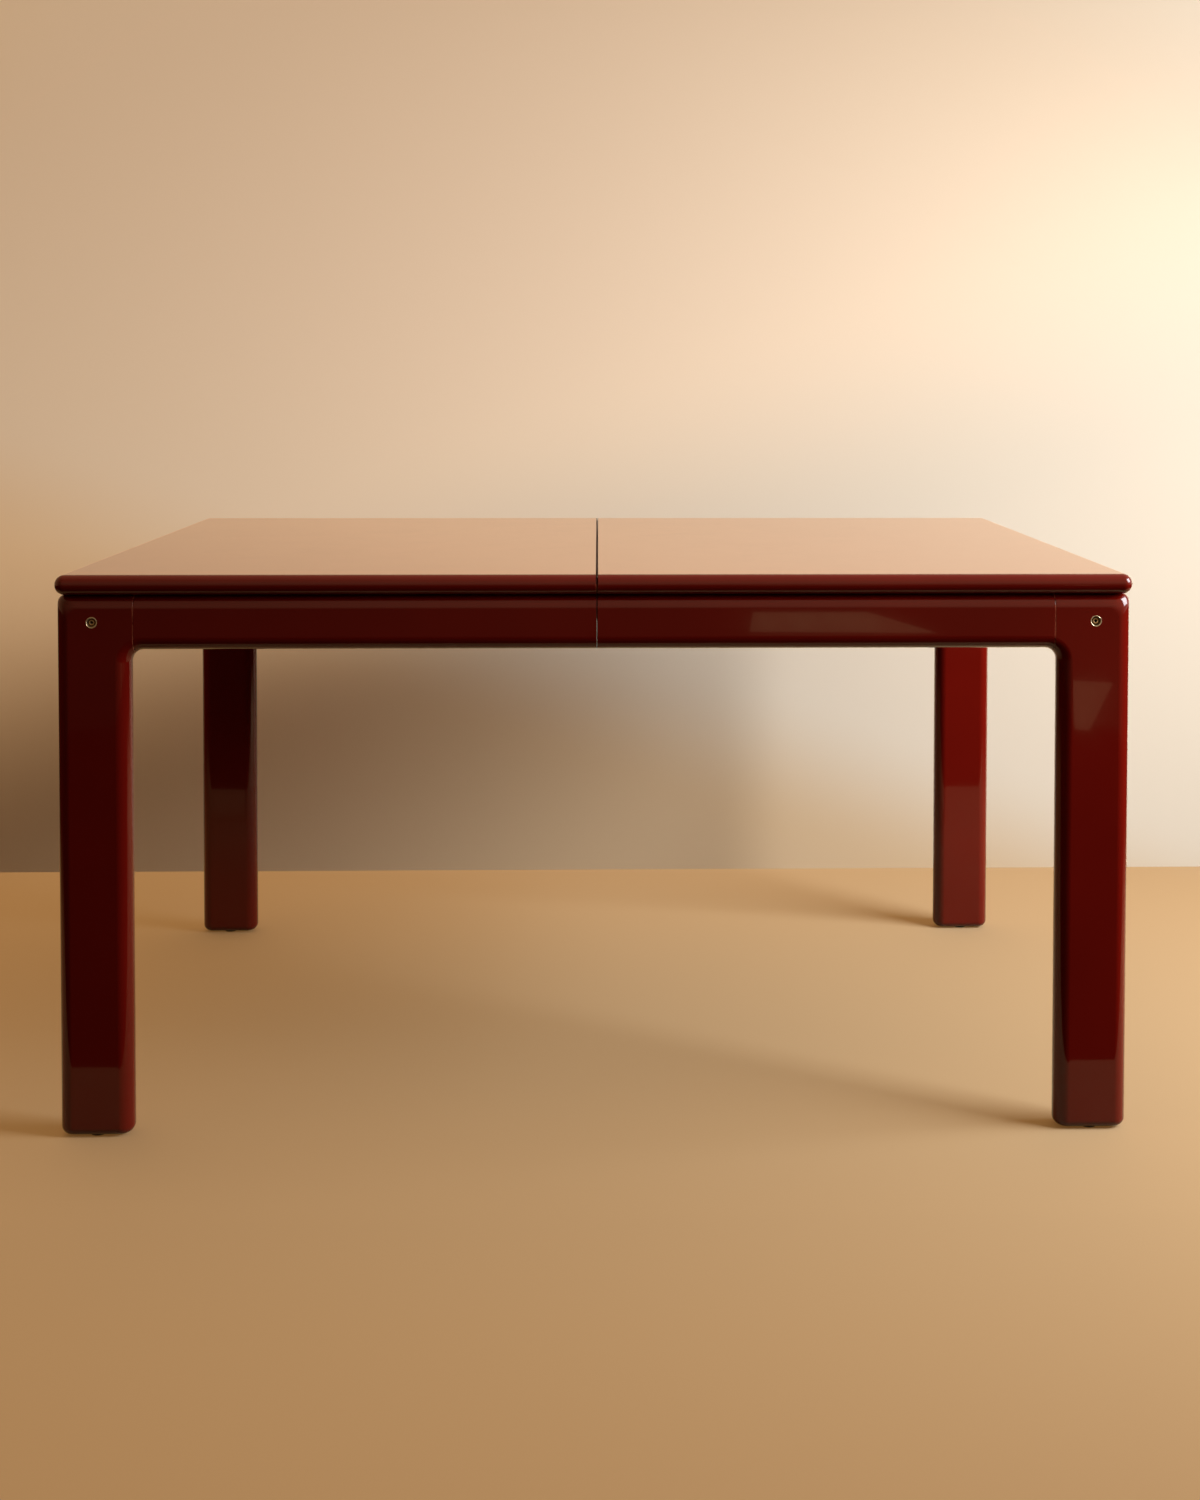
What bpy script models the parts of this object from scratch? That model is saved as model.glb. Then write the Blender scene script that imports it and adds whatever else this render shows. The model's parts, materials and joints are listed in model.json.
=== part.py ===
"""Extending dining table: two halves that slide apart on wooden runners, with a folding leaf
stored under the top on a centre carriage.

Metres, +Z up, the floor at z = 0. The table is long in X, and its front faces -Y.
"""

import math

import bmesh
import bpy
from mathutils import Vector

# Overall size with the table closed
TABLE_LENGTH = 1.396
TABLE_DEPTH = 0.900
TABLE_HEIGHT = 0.732

# How far each half slides out
HALF_TRAVEL = 0.250

# Top boards
TOP_THICKNESS = 0.026
NOSING_FLAT = 0.0008
SEAM_GAP = 0.0012
SHADOW_GAP = 0.0012

# Legs and long rails, cut from planks of one thickness
FRONT_OVERHANG = 0.0055
END_OVERHANG = 0.0010
FRAME_THICKNESS = 0.038
LEG_WIDTH = 0.095
RAIL_HEIGHT = 0.068
LEG_EAR = 0.0055
FILLET_RADIUS = 0.014
FRAME_ROUND = 0.010
CORNER_SOFTENING = 0.0006

# Stub tenons on the ends of the rails
TENON_LENGTH = 0.020
TENON_THICKNESS = 0.014
TENON_HEIGHT = 0.040

# End rails, between the front and the rear legs
END_RAIL_THICKNESS = 0.032
END_RAIL_ROUND = 0.006
END_TENON_LENGTH = 0.008

# Leg bolts in their ferrules, and their barrel nuts
FERRULE_RADIUS = 0.00725
FERRULE_WALL = 0.00155
FERRULE_DEPTH = 0.0095
FERRULE_FLOOR = 0.0015
BOLT_HEAD_RADIUS = 0.0048
BOLT_HEAD_HEIGHT = 0.0055
BOLT_RADIUS = 0.003
BOLT_PAST_NUT = 0.004
HEX_ACROSS_FLATS = 0.004
HEX_DEPTH = 0.0035
NUT_RADIUS = 0.005
NUT_LENGTH = 0.020
NUT_SETBACK = 0.030

# Foot glides
GLIDE_RADIUS = 0.011
GLIDE_HEIGHT = 0.0012
GLIDE_NAIL_RADIUS = 0.002
GLIDE_NAIL_LENGTH = 0.014

# Cleats that hold the top to the long rails
CLEAT_SECTION = 0.018
CLEAT_LENGTH = 0.160
CLEAT_FROM_SEAM = 0.300

# Runners on the halves and grooved rails on the carriage
RUNNER_WIDTH = 0.022
RUNNER_HEIGHT = 0.044
RUNNER_FROM_SEAM = 0.012
TONGUE_LENGTH = 0.288
TONGUE_HEIGHT = 0.012
TONGUE_DEPTH = 0.008
CENTRE_RAIL_WIDTH = 0.024
CENTRE_RAIL_END = 0.010
CARRIAGE_DROP = 0.001
BATTEN_WIDTH = 0.045
BATTEN_THICKNESS = 0.0105
BATTEN_INSET = 0.070

# Folded leaf
LEAF_DROP = 0.0045
LEAF_SIDE_ROOM = 0.007
HINGE_LENGTH = 0.060
HINGE_HEIGHT = 0.018
HINGE_PLATE = 0.0016
HINGE_KNUCKLE_RADIUS = 0.0042
HINGE_PIN_RADIUS = 0.0016
HINGE_INSET = 0.060

# Locks under the seam
LOCK_INSET = 0.018
LOCK_PLATE = 0.002
LOCK_PLATE_LENGTH = 0.036
LOCK_PLATE_WIDTH = 0.026
LEVER_THICKNESS = 0.003
LEVER_WIDTH = 0.018
LEVER_TAIL = 0.024
LEVER_TIP = 0.010
PIVOT_RADIUS = 0.003
STUD_RADIUS = 0.0025
RIVET_HEAD = 0.0015
RIVET_HEAD_RADIUS = 0.006
LOCK_PLAY = 0.0015

# Dowels in the seam of the top
DOWEL_RADIUS = 0.004
DOWEL_LENGTH = 0.040
DOWEL_BITE = 0.016
DOWEL_FROM_EDGE = 0.150

# Gap kept between pieces that touch or fit
CLEARANCE = 0.0003

# Facets
ARC_STEPS = 5
ROUND_STEPS = 4
TURN_STEPS = 20

# Levels, from the top down
TOP_UNDERSIDE = TABLE_HEIGHT - TOP_THICKNESS
FRAME_TOP = TOP_UNDERSIDE - SHADOW_GAP
RAIL_BOTTOM = FRAME_TOP - RAIL_HEIGHT
RAIL_MIDDLE = FRAME_TOP - RAIL_HEIGHT / 2
FOOT = GLIDE_HEIGHT + CLEARANCE
FIXING_TOP = TOP_UNDERSIDE - CLEARANCE
TONGUE_MIDDLE = FIXING_TOP - RUNNER_HEIGHT / 2
LEAF_TOP = TOP_UNDERSIDE - LEAF_DROP
LEAF_FOLD = LEAF_TOP - TOP_THICKNESS - CLEARANCE / 2
LEAF_BOTTOM = LEAF_TOP - 2 * TOP_THICKNESS - CLEARANCE
BATTEN_TOP = LEAF_BOTTOM - CLEARANCE
CENTRE_RAIL_TOP = TOP_UNDERSIDE - CARRIAGE_DROP
CENTRE_RAIL_BOTTOM = BATTEN_TOP + CLEARANCE

# Places along X, from the seam out
SEAM = SEAM_GAP / 2
LEG_OUTER = TABLE_LENGTH / 2 - END_OVERHANG
LEG_INNER = LEG_OUTER - LEG_WIDTH
LEG_MIDDLE = LEG_OUTER - LEG_WIDTH / 2
LEG_JOINT = LEG_INNER - LEG_EAR
END_RAIL_INNER = LEG_MIDDLE - END_RAIL_THICKNESS / 2
TONGUE_END = RUNNER_FROM_SEAM + TONGUE_LENGTH
GROOVE_HALF = TONGUE_END + HALF_TRAVEL + CLEARANCE
LEAF_LENGTH = 2 * HALF_TRAVEL

# Places along Y, from the middle out
FRAME_FACE = TABLE_DEPTH / 2 - FRONT_OVERHANG
FRAME_MIDDLE = FRAME_FACE - FRAME_THICKNESS / 2
FRAME_BACK = FRAME_FACE - FRAME_THICKNESS
LEAF_HALF = (TABLE_DEPTH - CLEARANCE) / 4
CENTRE_RAIL_INNER = LEAF_HALF + HINGE_KNUCKLE_RADIUS + LEAF_SIDE_ROOM
CENTRE_RAIL_OUTER = CENTRE_RAIL_INNER + CENTRE_RAIL_WIDTH
RUNNER_INNER = CENTRE_RAIL_OUTER + CLEARANCE
RUNNER_OUTER = RUNNER_INNER + RUNNER_WIDTH
LEVER_REACH = 2 * LOCK_INSET + LEVER_TIP
LOCK_MIDDLE = (RUNNER_OUTER + FRAME_BACK + LEVER_REACH - LEVER_TAIL) / 2

# Turns that lay a shape made along Z on another axis
UPRIGHT = (0, 0, 0)
ALONG_X = (0, math.pi / 2, 0)
ALONG_Y = (math.pi / 2, 0, 0)

SIDES = {"left": -1, "right": 1}
ENDS = {"front": -1, "rear": 1}


def linear(hex_colour):
    """Linear RGBA of an sRGB hex colour."""
    channels = [int(hex_colour[i : i + 2], 16) / 255 for i in (1, 3, 5)]
    return [c / 12.92 if c <= 0.04045 else ((c + 0.055) / 1.055) ** 2.4 for c in channels] + [1]


def finish(name, hex_colour, roughness, metallic=0.0):
    material = bpy.data.materials.new(name)
    material.use_nodes = True
    shader = material.node_tree.nodes["Principled BSDF"]
    shader.inputs["Base Color"].default_value = linear(hex_colour)
    shader.inputs["Roughness"].default_value = roughness
    shader.inputs["Metallic"].default_value = metallic
    return material


def collection(name):
    made = bpy.data.collections.new(name)
    bpy.context.scene.collection.children.link(made)
    return made


def place(obj, at, turn, parent):
    """Puts an object at a place in the table's own frame, under its parent."""
    obj.parent = parent
    if parent:
        bpy.context.view_layer.update()
        obj.matrix_parent_inverse = parent.matrix_world.inverted()
    obj.location = at
    obj.rotation_euler = turn


def carrier(name, at):
    """Empty that a group of pieces moves with."""
    empty = bpy.data.objects.new(name, None)
    PARTS.objects.link(empty)
    place(empty, at, UPRIGHT, None)
    return empty


def mesh_of(name, bm):
    bmesh.ops.recalc_face_normals(bm, faces=bm.faces)
    mesh = bpy.data.meshes.new(name)
    bm.to_mesh(mesh)
    bm.free()
    mesh.shade_smooth()
    mesh.set_sharp_from_angle(angle=math.radians(35))
    return mesh


def piece(name, bm, material, parent, at, turn=UPRIGHT):
    """One separate solid of the table."""
    obj = bpy.data.objects.new(name, mesh_of(name, bm))
    obj.data.materials.append(material)
    PARTS.objects.link(obj)
    place(obj, at, turn, parent)
    return obj


def combine(target, label, operation, bm, at, turn=UPRIGHT):
    """Boolean of a hidden helper solid on a piece."""
    name = f"{target.name}_{label}"
    helper = bpy.data.objects.new(name, mesh_of(name, bm))
    helper.hide_render = True
    helper.display_type = "WIRE"
    CUTTERS.objects.link(helper)
    place(helper, at, turn, target)
    boolean = target.modifiers.new(label, "BOOLEAN")
    boolean.operation = operation
    boolean.object = helper


def cut(target, label, bm, at, turn=UPRIGHT):
    combine(target, label, "DIFFERENCE", bm, at, turn)


def fuse(target, label, bm, at, turn=UPRIGHT):
    combine(target, label, "UNION", bm, at, turn)


def block(x, y, z):
    bm = bmesh.new()
    bmesh.ops.create_cube(bm, size=1)
    bmesh.ops.scale(bm, vec=(x, y, z), verts=bm.verts)
    return bm


def span(low, high):
    """Size and middle of a stretch between two places."""
    return high - low, (low + high) / 2


def rod(radius, length, sides=TURN_STEPS):
    bm = bmesh.new()
    bmesh.ops.create_cone(
        bm, cap_ends=True, segments=sides, radius1=radius, radius2=radius, depth=length
    )
    return bm


def turned(profile):
    """Solid of revolution about Z of a profile of (radius, height) points, a closed ring if it
    stays off the axis."""
    bm = bmesh.new()
    verts = [bm.verts.new((radius, 0, height)) for radius, height in profile]
    edges = [bm.edges.new(pair) for pair in zip(verts, verts[1:])]
    if profile[0][0] > 0:
        edges.append(bm.edges.new((verts[-1], verts[0])))
    bmesh.ops.spin(
        bm,
        geom=verts + edges,
        axis=(0, 0, 1),
        angle=2 * math.pi,
        steps=TURN_STEPS,
        use_merge=True,
    )
    bmesh.ops.remove_doubles(bm, verts=bm.verts, dist=1e-6)
    return bm


def arc(centre, radius, start, end):
    """Points on an arc between two angles in degrees."""
    angles = [math.radians(start + (end - start) * i / ARC_STEPS) for i in range(ARC_STEPS + 1)]
    return [(centre[0] + radius * math.cos(a), centre[1] + radius * math.sin(a)) for a in angles]


def plank(outline, thickness, round_over=0.0):
    """Plank of a flat outline in X and Y, centred on z = 0, with its rims rounded over."""
    bm = bmesh.new()
    face = bm.faces.new([bm.verts.new((x, y, -thickness / 2)) for x, y in outline])
    grown = bmesh.ops.extrude_face_region(bm, geom=[face])["geom"]
    lifted = [v for v in grown if isinstance(v, bmesh.types.BMVert)]
    bmesh.ops.translate(bm, vec=(0, 0, thickness), verts=lifted)
    if round_over > 0:
        rims = [e for e in bm.edges if e.verts[0].co.z == e.verts[1].co.z]
        bmesh.ops.bevel(
            bm,
            geom=rims,
            offset=round_over,
            segments=ROUND_STEPS,
            profile=0.5,
            affect="EDGES",
            clamp_overlap=False,
            material=-1,
        )
    return bm


def keep_below(bm, point, normal):
    """Cuts off what lies past a plane, on the side of its normal, and closes the cut."""
    geom = bm.verts[:] + bm.edges[:] + bm.faces[:]
    found = bmesh.ops.bisect_plane(
        bm, geom=geom, plane_co=point, plane_no=normal, clear_outer=True
    )
    rim = [e for e in found["geom_cut"] if isinstance(e, bmesh.types.BMEdge)]
    bmesh.ops.edgeloop_fill(bm, edges=rim)
    return bm


def board(half_x, half_y, square_edges):
    """Board of the top's thickness and nosing. The edges named in square_edges, as directions in
    X and Y, are cut square; the others keep the full bullnose."""
    nosing = (TOP_THICKNESS - NOSING_FLAT) / 2
    corner = nosing + CORNER_SOFTENING
    reach_x = half_x + (2 * corner if (1, 0) in square_edges or (-1, 0) in square_edges else 0)
    reach_y = half_y + (2 * corner if (0, 1) in square_edges or (0, -1) in square_edges else 0)
    outline = []
    for turn, (sx, sy) in enumerate(((1, 1), (-1, 1), (-1, -1), (1, -1))):
        x = sx * ((reach_x if (sx, 0) in square_edges else half_x) - corner)
        y = sy * ((reach_y if (0, sy) in square_edges else half_y) - corner)
        outline += arc((x, y), corner, 90 * turn, 90 * turn + 90)
    bm = plank(outline, TOP_THICKNESS, nosing)
    for dx, dy in square_edges:
        keep_below(bm, (dx * half_x, dy * half_y, 0), (dx, dy, 0))
    return bm


def make_top(side_name, side, half):
    length, middle = span(SEAM, TABLE_LENGTH / 2)
    bm = board(length / 2, TABLE_DEPTH / 2, [(-side, 0)])
    top = piece(
        f"{side_name}_top", bm, LACQUER, half, (side * middle, 0, TOP_UNDERSIDE + TOP_THICKNESS / 2)
    )
    depth = DOWEL_BITE if side < 0 else DOWEL_LENGTH - DOWEL_BITE - SEAM_GAP
    for end_name, end in ENDS.items():
        cut(
            top,
            f"{end_name}_dowel_hole",
            rod(DOWEL_RADIUS + CLEARANCE, 2 * (depth + CLEARANCE)),
            (side * SEAM, end * dowel_place(), top.location.z),
            ALONG_X,
        )


def dowel_place():
    return TABLE_DEPTH / 2 - DOWEL_FROM_EDGE


def make_dowel(end_name, end, half):
    """Dowel glued into the right half, whose free end bites into the left half."""
    middle = DOWEL_LENGTH / 2 - SEAM - DOWEL_BITE
    piece(
        f"{end_name}_top_dowel",
        rod(DOWEL_RADIUS, DOWEL_LENGTH),
        BEECH,
        half,
        (middle, end * dowel_place(), TOP_UNDERSIDE + TOP_THICKNESS / 2),
        ALONG_X,
    )


def frame_outline(side):
    """Leg and half rail in one front view, (x, z), with the rail running on past the seam."""
    corner = frame_round() + CORNER_SOFTENING
    outline = arc((LEG_INNER + corner, FOOT + corner), corner, 180, 270)
    outline += arc((LEG_OUTER - corner, FOOT + corner), corner, 270, 360)
    outline += arc((LEG_OUTER - corner, FRAME_TOP - corner), corner, 0, 90)
    outline += [(-LEG_WIDTH, FRAME_TOP), (-LEG_WIDTH, RAIL_BOTTOM)]
    outline += arc((LEG_INNER - FILLET_RADIUS, RAIL_BOTTOM - FILLET_RADIUS), FILLET_RADIUS, 90, 0)
    return [(side * x, z) for x, z in outline]


def frame_round():
    """Round-over of legs and rails, which their thickness limits."""
    return min(FRAME_ROUND, FRAME_THICKNESS / 2 - NOSING_FLAT)


def tenon(length):
    return block(length, TENON_THICKNESS, TENON_HEIGHT)


def tenon_hole(length):
    grow = 2 * CLEARANCE
    return block(length, TENON_THICKNESS + grow, TENON_HEIGHT + grow)


def make_long_rail(name, side, end, half):
    joint = LEG_JOINT - CLEARANCE / 2
    bm = plank(frame_outline(side), FRAME_THICKNESS, frame_round())
    keep_below(bm, (side * SEAM, 0, 0), (-side, 0, 0))
    keep_below(bm, (side * joint, 0, 0), (side, 0, 0))
    middle = side * (SEAM + joint) / 2
    bmesh.ops.translate(bm, vec=(-middle, -RAIL_MIDDLE, 0), verts=bm.verts)
    at = (middle, end * FRAME_MIDDLE, RAIL_MIDDLE)
    rail = piece(f"{name}_rail", bm, LACQUER, half, at, ALONG_Y)
    fuse(rail, "tenon", tenon(2 * TENON_LENGTH), (side * joint, end * FRAME_MIDDLE, RAIL_MIDDLE))


def make_leg(name, side, end, half):
    joint = LEG_JOINT + CLEARANCE / 2
    bm = plank(frame_outline(side), FRAME_THICKNESS, frame_round())
    keep_below(bm, (side * joint, 0, 0), (-side, 0, 0))
    bmesh.ops.translate(bm, vec=(-side * LEG_MIDDLE, 0, 0), verts=bm.verts)
    at = (side * LEG_MIDDLE, end * FRAME_MIDDLE, 0)
    leg = piece(f"{name}_leg", bm, LACQUER, half, at, ALONG_Y)
    cut(
        leg,
        "rail_mortise",
        tenon_hole(2 * (TENON_LENGTH + CLEARANCE)),
        (side * joint, end * FRAME_MIDDLE, RAIL_MIDDLE),
    )
    grow = 2 * CLEARANCE
    end_mortise = block(
        TENON_THICKNESS + grow, 2 * (END_TENON_LENGTH + CLEARANCE), TENON_HEIGHT + grow
    )
    cut(leg, "end_rail_mortise", end_mortise, (side * LEG_MIDDLE, end * FRAME_BACK, RAIL_MIDDLE))
    cut(
        leg,
        "ferrule_seat",
        rod(FERRULE_RADIUS + CLEARANCE, 2 * (FERRULE_DEPTH + CLEARANCE)),
        (side * LEG_MIDDLE, end * FRAME_FACE, RAIL_MIDDLE),
        ALONG_Y,
    )
    cut(
        leg,
        "bolt_bore",
        rod(BOLT_RADIUS + CLEARANCE, FRAME_THICKNESS),
        (side * LEG_MIDDLE, end * FRAME_MIDDLE, RAIL_MIDDLE),
        ALONG_Y,
    )
    cut(
        leg,
        "glide_hole",
        rod(GLIDE_NAIL_RADIUS + CLEARANCE, 2 * (GLIDE_NAIL_LENGTH + CLEARANCE)),
        (side * LEG_MIDDLE, end * FRAME_MIDDLE, GLIDE_HEIGHT),
    )


def make_end_rail(side_name, side, half):
    length = 2 * (FRAME_BACK - CLEARANCE)
    bm = block(END_RAIL_THICKNESS, length, RAIL_HEIGHT)
    long_edges = [e for e in bm.edges if e.verts[0].co.y != e.verts[1].co.y]
    bmesh.ops.bevel(
        bm,
        geom=long_edges,
        offset=END_RAIL_ROUND,
        segments=ROUND_STEPS,
        profile=0.5,
        affect="EDGES",
        material=-1,
    )
    x = side * LEG_MIDDLE
    rail = piece(f"{side_name}_end_rail", bm, LACQUER, half, (x, 0, RAIL_MIDDLE))
    for end_name, end in ENDS.items():
        y_end = end * length / 2
        stub = block(TENON_THICKNESS, 2 * END_TENON_LENGTH, TENON_HEIGHT)
        fuse(rail, f"{end_name}_tenon", stub, (x, y_end, RAIL_MIDDLE))
        bolt_depth = NUT_SETBACK + NUT_RADIUS + BOLT_PAST_NUT + CLEARANCE
        cut(
            rail,
            f"{end_name}_bolt_hole",
            rod(BOLT_RADIUS + CLEARANCE, 2 * bolt_depth),
            (x, y_end, RAIL_MIDDLE),
            ALONG_Y,
        )
        nut_depth = END_RAIL_THICKNESS + NUT_LENGTH + 2 * CLEARANCE
        cut(
            rail,
            f"{end_name}_nut_hole",
            rod(NUT_RADIUS + CLEARANCE, nut_depth),
            (x - side * END_RAIL_THICKNESS / 2, y_end - end * NUT_SETBACK, RAIL_MIDDLE),
            ALONG_X,
        )


def make_leg_fixing(name, side, end, half):
    """Ferrule, bolt and barrel nut on the line through the middle of a leg's head. The turned
    pieces have their visible face at their own top, which looks out of the leg."""
    outward = (-end * math.pi / 2, 0, 0)
    face = (side * LEG_MIDDLE, end * FRAME_FACE, RAIL_MIDDLE)
    bore = FERRULE_RADIUS - FERRULE_WALL
    ferrule = turned(
        [
            (bore, 0),
            (FERRULE_RADIUS, 0),
            (FERRULE_RADIUS, -FERRULE_DEPTH),
            (BOLT_RADIUS + CLEARANCE, -FERRULE_DEPTH),
            (BOLT_RADIUS + CLEARANCE, FERRULE_FLOOR - FERRULE_DEPTH),
            (bore, FERRULE_FLOOR - FERRULE_DEPTH),
        ]
    )
    piece(f"{name}_bolt_ferrule", ferrule, BRASS, half, face, outward)

    under_head = FERRULE_FLOOR - FERRULE_DEPTH + CLEARANCE
    head_top = under_head + BOLT_HEAD_HEIGHT
    head_radius = min(BOLT_HEAD_RADIUS, bore - CLEARANCE)
    nut_place = FRAME_BACK - CLEARANCE - NUT_SETBACK
    tip = nut_place - NUT_RADIUS - BOLT_PAST_NUT - FRAME_FACE
    bolt = turned(
        [
            (0, head_top),
            (head_radius, head_top),
            (head_radius, under_head),
            (BOLT_RADIUS, under_head),
            (BOLT_RADIUS, tip),
            (0, tip),
        ]
    )
    bolt = piece(f"{name}_leg_bolt", bolt, BRASS, half, face, outward)
    hex_radius = HEX_ACROSS_FLATS / math.sqrt(3)
    socket_place = face[1] + end * head_top
    cut(
        bolt,
        "hex_socket",
        rod(hex_radius, 2 * HEX_DEPTH, 6),
        (face[0], socket_place, RAIL_MIDDLE),
        outward,
    )

    nut = piece(
        f"{name}_barrel_nut",
        rod(NUT_RADIUS, NUT_LENGTH),
        STEEL,
        half,
        (side * LEG_MIDDLE, end * nut_place, RAIL_MIDDLE),
        ALONG_X,
    )
    cut(
        nut,
        "bolt_bore",
        rod(BOLT_RADIUS + CLEARANCE, 4 * NUT_RADIUS),
        (side * LEG_MIDDLE, end * nut_place, RAIL_MIDDLE),
        ALONG_Y,
    )


def make_glide(name, side, end, half):
    glide = turned(
        [
            (0, GLIDE_HEIGHT + GLIDE_NAIL_LENGTH),
            (GLIDE_NAIL_RADIUS, GLIDE_HEIGHT + GLIDE_NAIL_LENGTH),
            (GLIDE_NAIL_RADIUS, GLIDE_HEIGHT),
            (GLIDE_RADIUS, GLIDE_HEIGHT),
            (GLIDE_RADIUS, 0),
            (0, 0),
        ]
    )
    at = (side * LEG_MIDDLE, end * FRAME_MIDDLE, 0)
    piece(f"{name}_foot_glide", glide, NYLON, half, at)


def make_cleat(name, side, end, half):
    at = (
        side * (CLEAT_FROM_SEAM + CLEAT_LENGTH / 2),
        end * (FRAME_BACK - CLEARANCE - CLEAT_SECTION / 2),
        FIXING_TOP - CLEAT_SECTION / 2,
    )
    piece(f"{name}_cleat", block(CLEAT_LENGTH, CLEAT_SECTION, CLEAT_SECTION), BEECH, half, at)


def make_runner(name, side, end, half):
    length, middle = span(RUNNER_FROM_SEAM, END_RAIL_INNER - CLEARANCE)
    at = (side * middle, end * (RUNNER_INNER + RUNNER_OUTER) / 2, FIXING_TOP - RUNNER_HEIGHT / 2)
    runner = piece(f"{name}_runner", block(length, RUNNER_WIDTH, RUNNER_HEIGHT), BEECH, half, at)
    reach = TONGUE_DEPTH - CLEARANCE
    tongue = block(TONGUE_LENGTH, 2 * reach, TONGUE_HEIGHT)
    tongue_x = side * (RUNNER_FROM_SEAM + TONGUE_LENGTH / 2)
    fuse(runner, "tongue", tongue, (tongue_x, end * RUNNER_INNER, TONGUE_MIDDLE))


def make_centre_rail(name, end, carriage):
    height, middle = span(CENTRE_RAIL_BOTTOM, CENTRE_RAIL_TOP)
    y = end * (CENTRE_RAIL_INNER + CENTRE_RAIL_OUTER) / 2
    length = 2 * (GROOVE_HALF + CENTRE_RAIL_END)
    bar = block(length, CENTRE_RAIL_WIDTH, height)
    rail = piece(f"{name}_centre_rail", bar, BEECH, carriage, (0, y, middle))
    groove = block(2 * GROOVE_HALF, 2 * (TONGUE_DEPTH + CLEARANCE), TONGUE_HEIGHT + 2 * CLEARANCE)
    cut(rail, "groove", groove, (0, end * CENTRE_RAIL_OUTER, TONGUE_MIDDLE))


def make_batten(name, side, carriage):
    x = side * (LEAF_LENGTH / 2 - BATTEN_INSET)
    batten = block(BATTEN_WIDTH, 2 * CENTRE_RAIL_OUTER, BATTEN_THICKNESS)
    at = (x, 0, BATTEN_TOP - BATTEN_THICKNESS / 2)
    piece(f"{name}_carriage_batten", batten, BEECH, carriage, at)


def make_leaf(carriage):
    """Two leaf panels folded with their undersides together. The fold is at +Y, and the nosing
    of both panels is at -Y."""
    square = [(1, 0), (-1, 0), (0, 1)]
    for name, up in (("upper", 1), ("lower", -1)):
        z = LEAF_FOLD + up * (CLEARANCE + TOP_THICKNESS) / 2
        bm = board(LEAF_LENGTH / 2, LEAF_HALF, square)
        panel = piece(f"{name}_leaf_panel", bm, LACQUER, carriage, (0, 0, z))
        for side_name, side in SIDES.items():
            x = side * (LEAF_LENGTH / 2 - HINGE_INSET)
            recess = block(
                HINGE_LENGTH + 2 * CLEARANCE,
                2 * (HINGE_PLATE + CLEARANCE),
                2 * (HINGE_HEIGHT + CLEARANCE),
            )
            cut(panel, f"{side_name}_hinge_recess", recess, (x, LEAF_HALF, LEAF_FOLD))
            cove = rod(HINGE_KNUCKLE_RADIUS + CLEARANCE, HINGE_LENGTH + 2 * CLEARANCE)
            cut(panel, f"{side_name}_hinge_cove", cove, (x, LEAF_HALF, LEAF_FOLD), ALONG_X)


def make_leaf_hinge(side_name, side, carriage):
    """Butt hinge let into the fold edges. The upper plate carries the middle knuckle, the lower
    plate the two outer ones."""
    x = side * (LEAF_LENGTH / 2 - HINGE_INSET)
    third = HINGE_LENGTH / 3
    knuckles = {"upper": [0], "lower": [-third, third]}
    height = HINGE_HEIGHT - CLEARANCE / 2
    for name, up in (("upper", 1), ("lower", -1)):
        z = LEAF_FOLD + up * (CLEARANCE + HINGE_HEIGHT) / 2
        plate = piece(
            f"{side_name}_leaf_hinge_{name}_plate",
            block(HINGE_LENGTH, HINGE_PLATE, height),
            BRASS,
            carriage,
            (x, LEAF_HALF - HINGE_PLATE / 2, z),
        )
        other = "lower" if name == "upper" else "upper"
        axis = (LEAF_HALF, LEAF_FOLD)
        for i, offset in enumerate(knuckles[other]):
            room = rod(HINGE_KNUCKLE_RADIUS + CLEARANCE, third + CLEARANCE)
            cut(plate, f"knuckle_room_{i}", room, (x + offset, *axis), ALONG_X)
        for i, offset in enumerate(knuckles[name]):
            barrel = rod(HINGE_KNUCKLE_RADIUS, third - CLEARANCE)
            fuse(plate, f"knuckle_{i}", barrel, (x + offset, *axis), ALONG_X)
        bore = rod(HINGE_PIN_RADIUS + CLEARANCE, 2 * HINGE_LENGTH)
        cut(plate, "pin_bore", bore, (x, *axis), ALONG_X)
    pin = rod(HINGE_PIN_RADIUS, HINGE_LENGTH)
    piece(f"{side_name}_leaf_hinge_pin", pin, STEEL, carriage, (x, *axis), ALONG_X)


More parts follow.
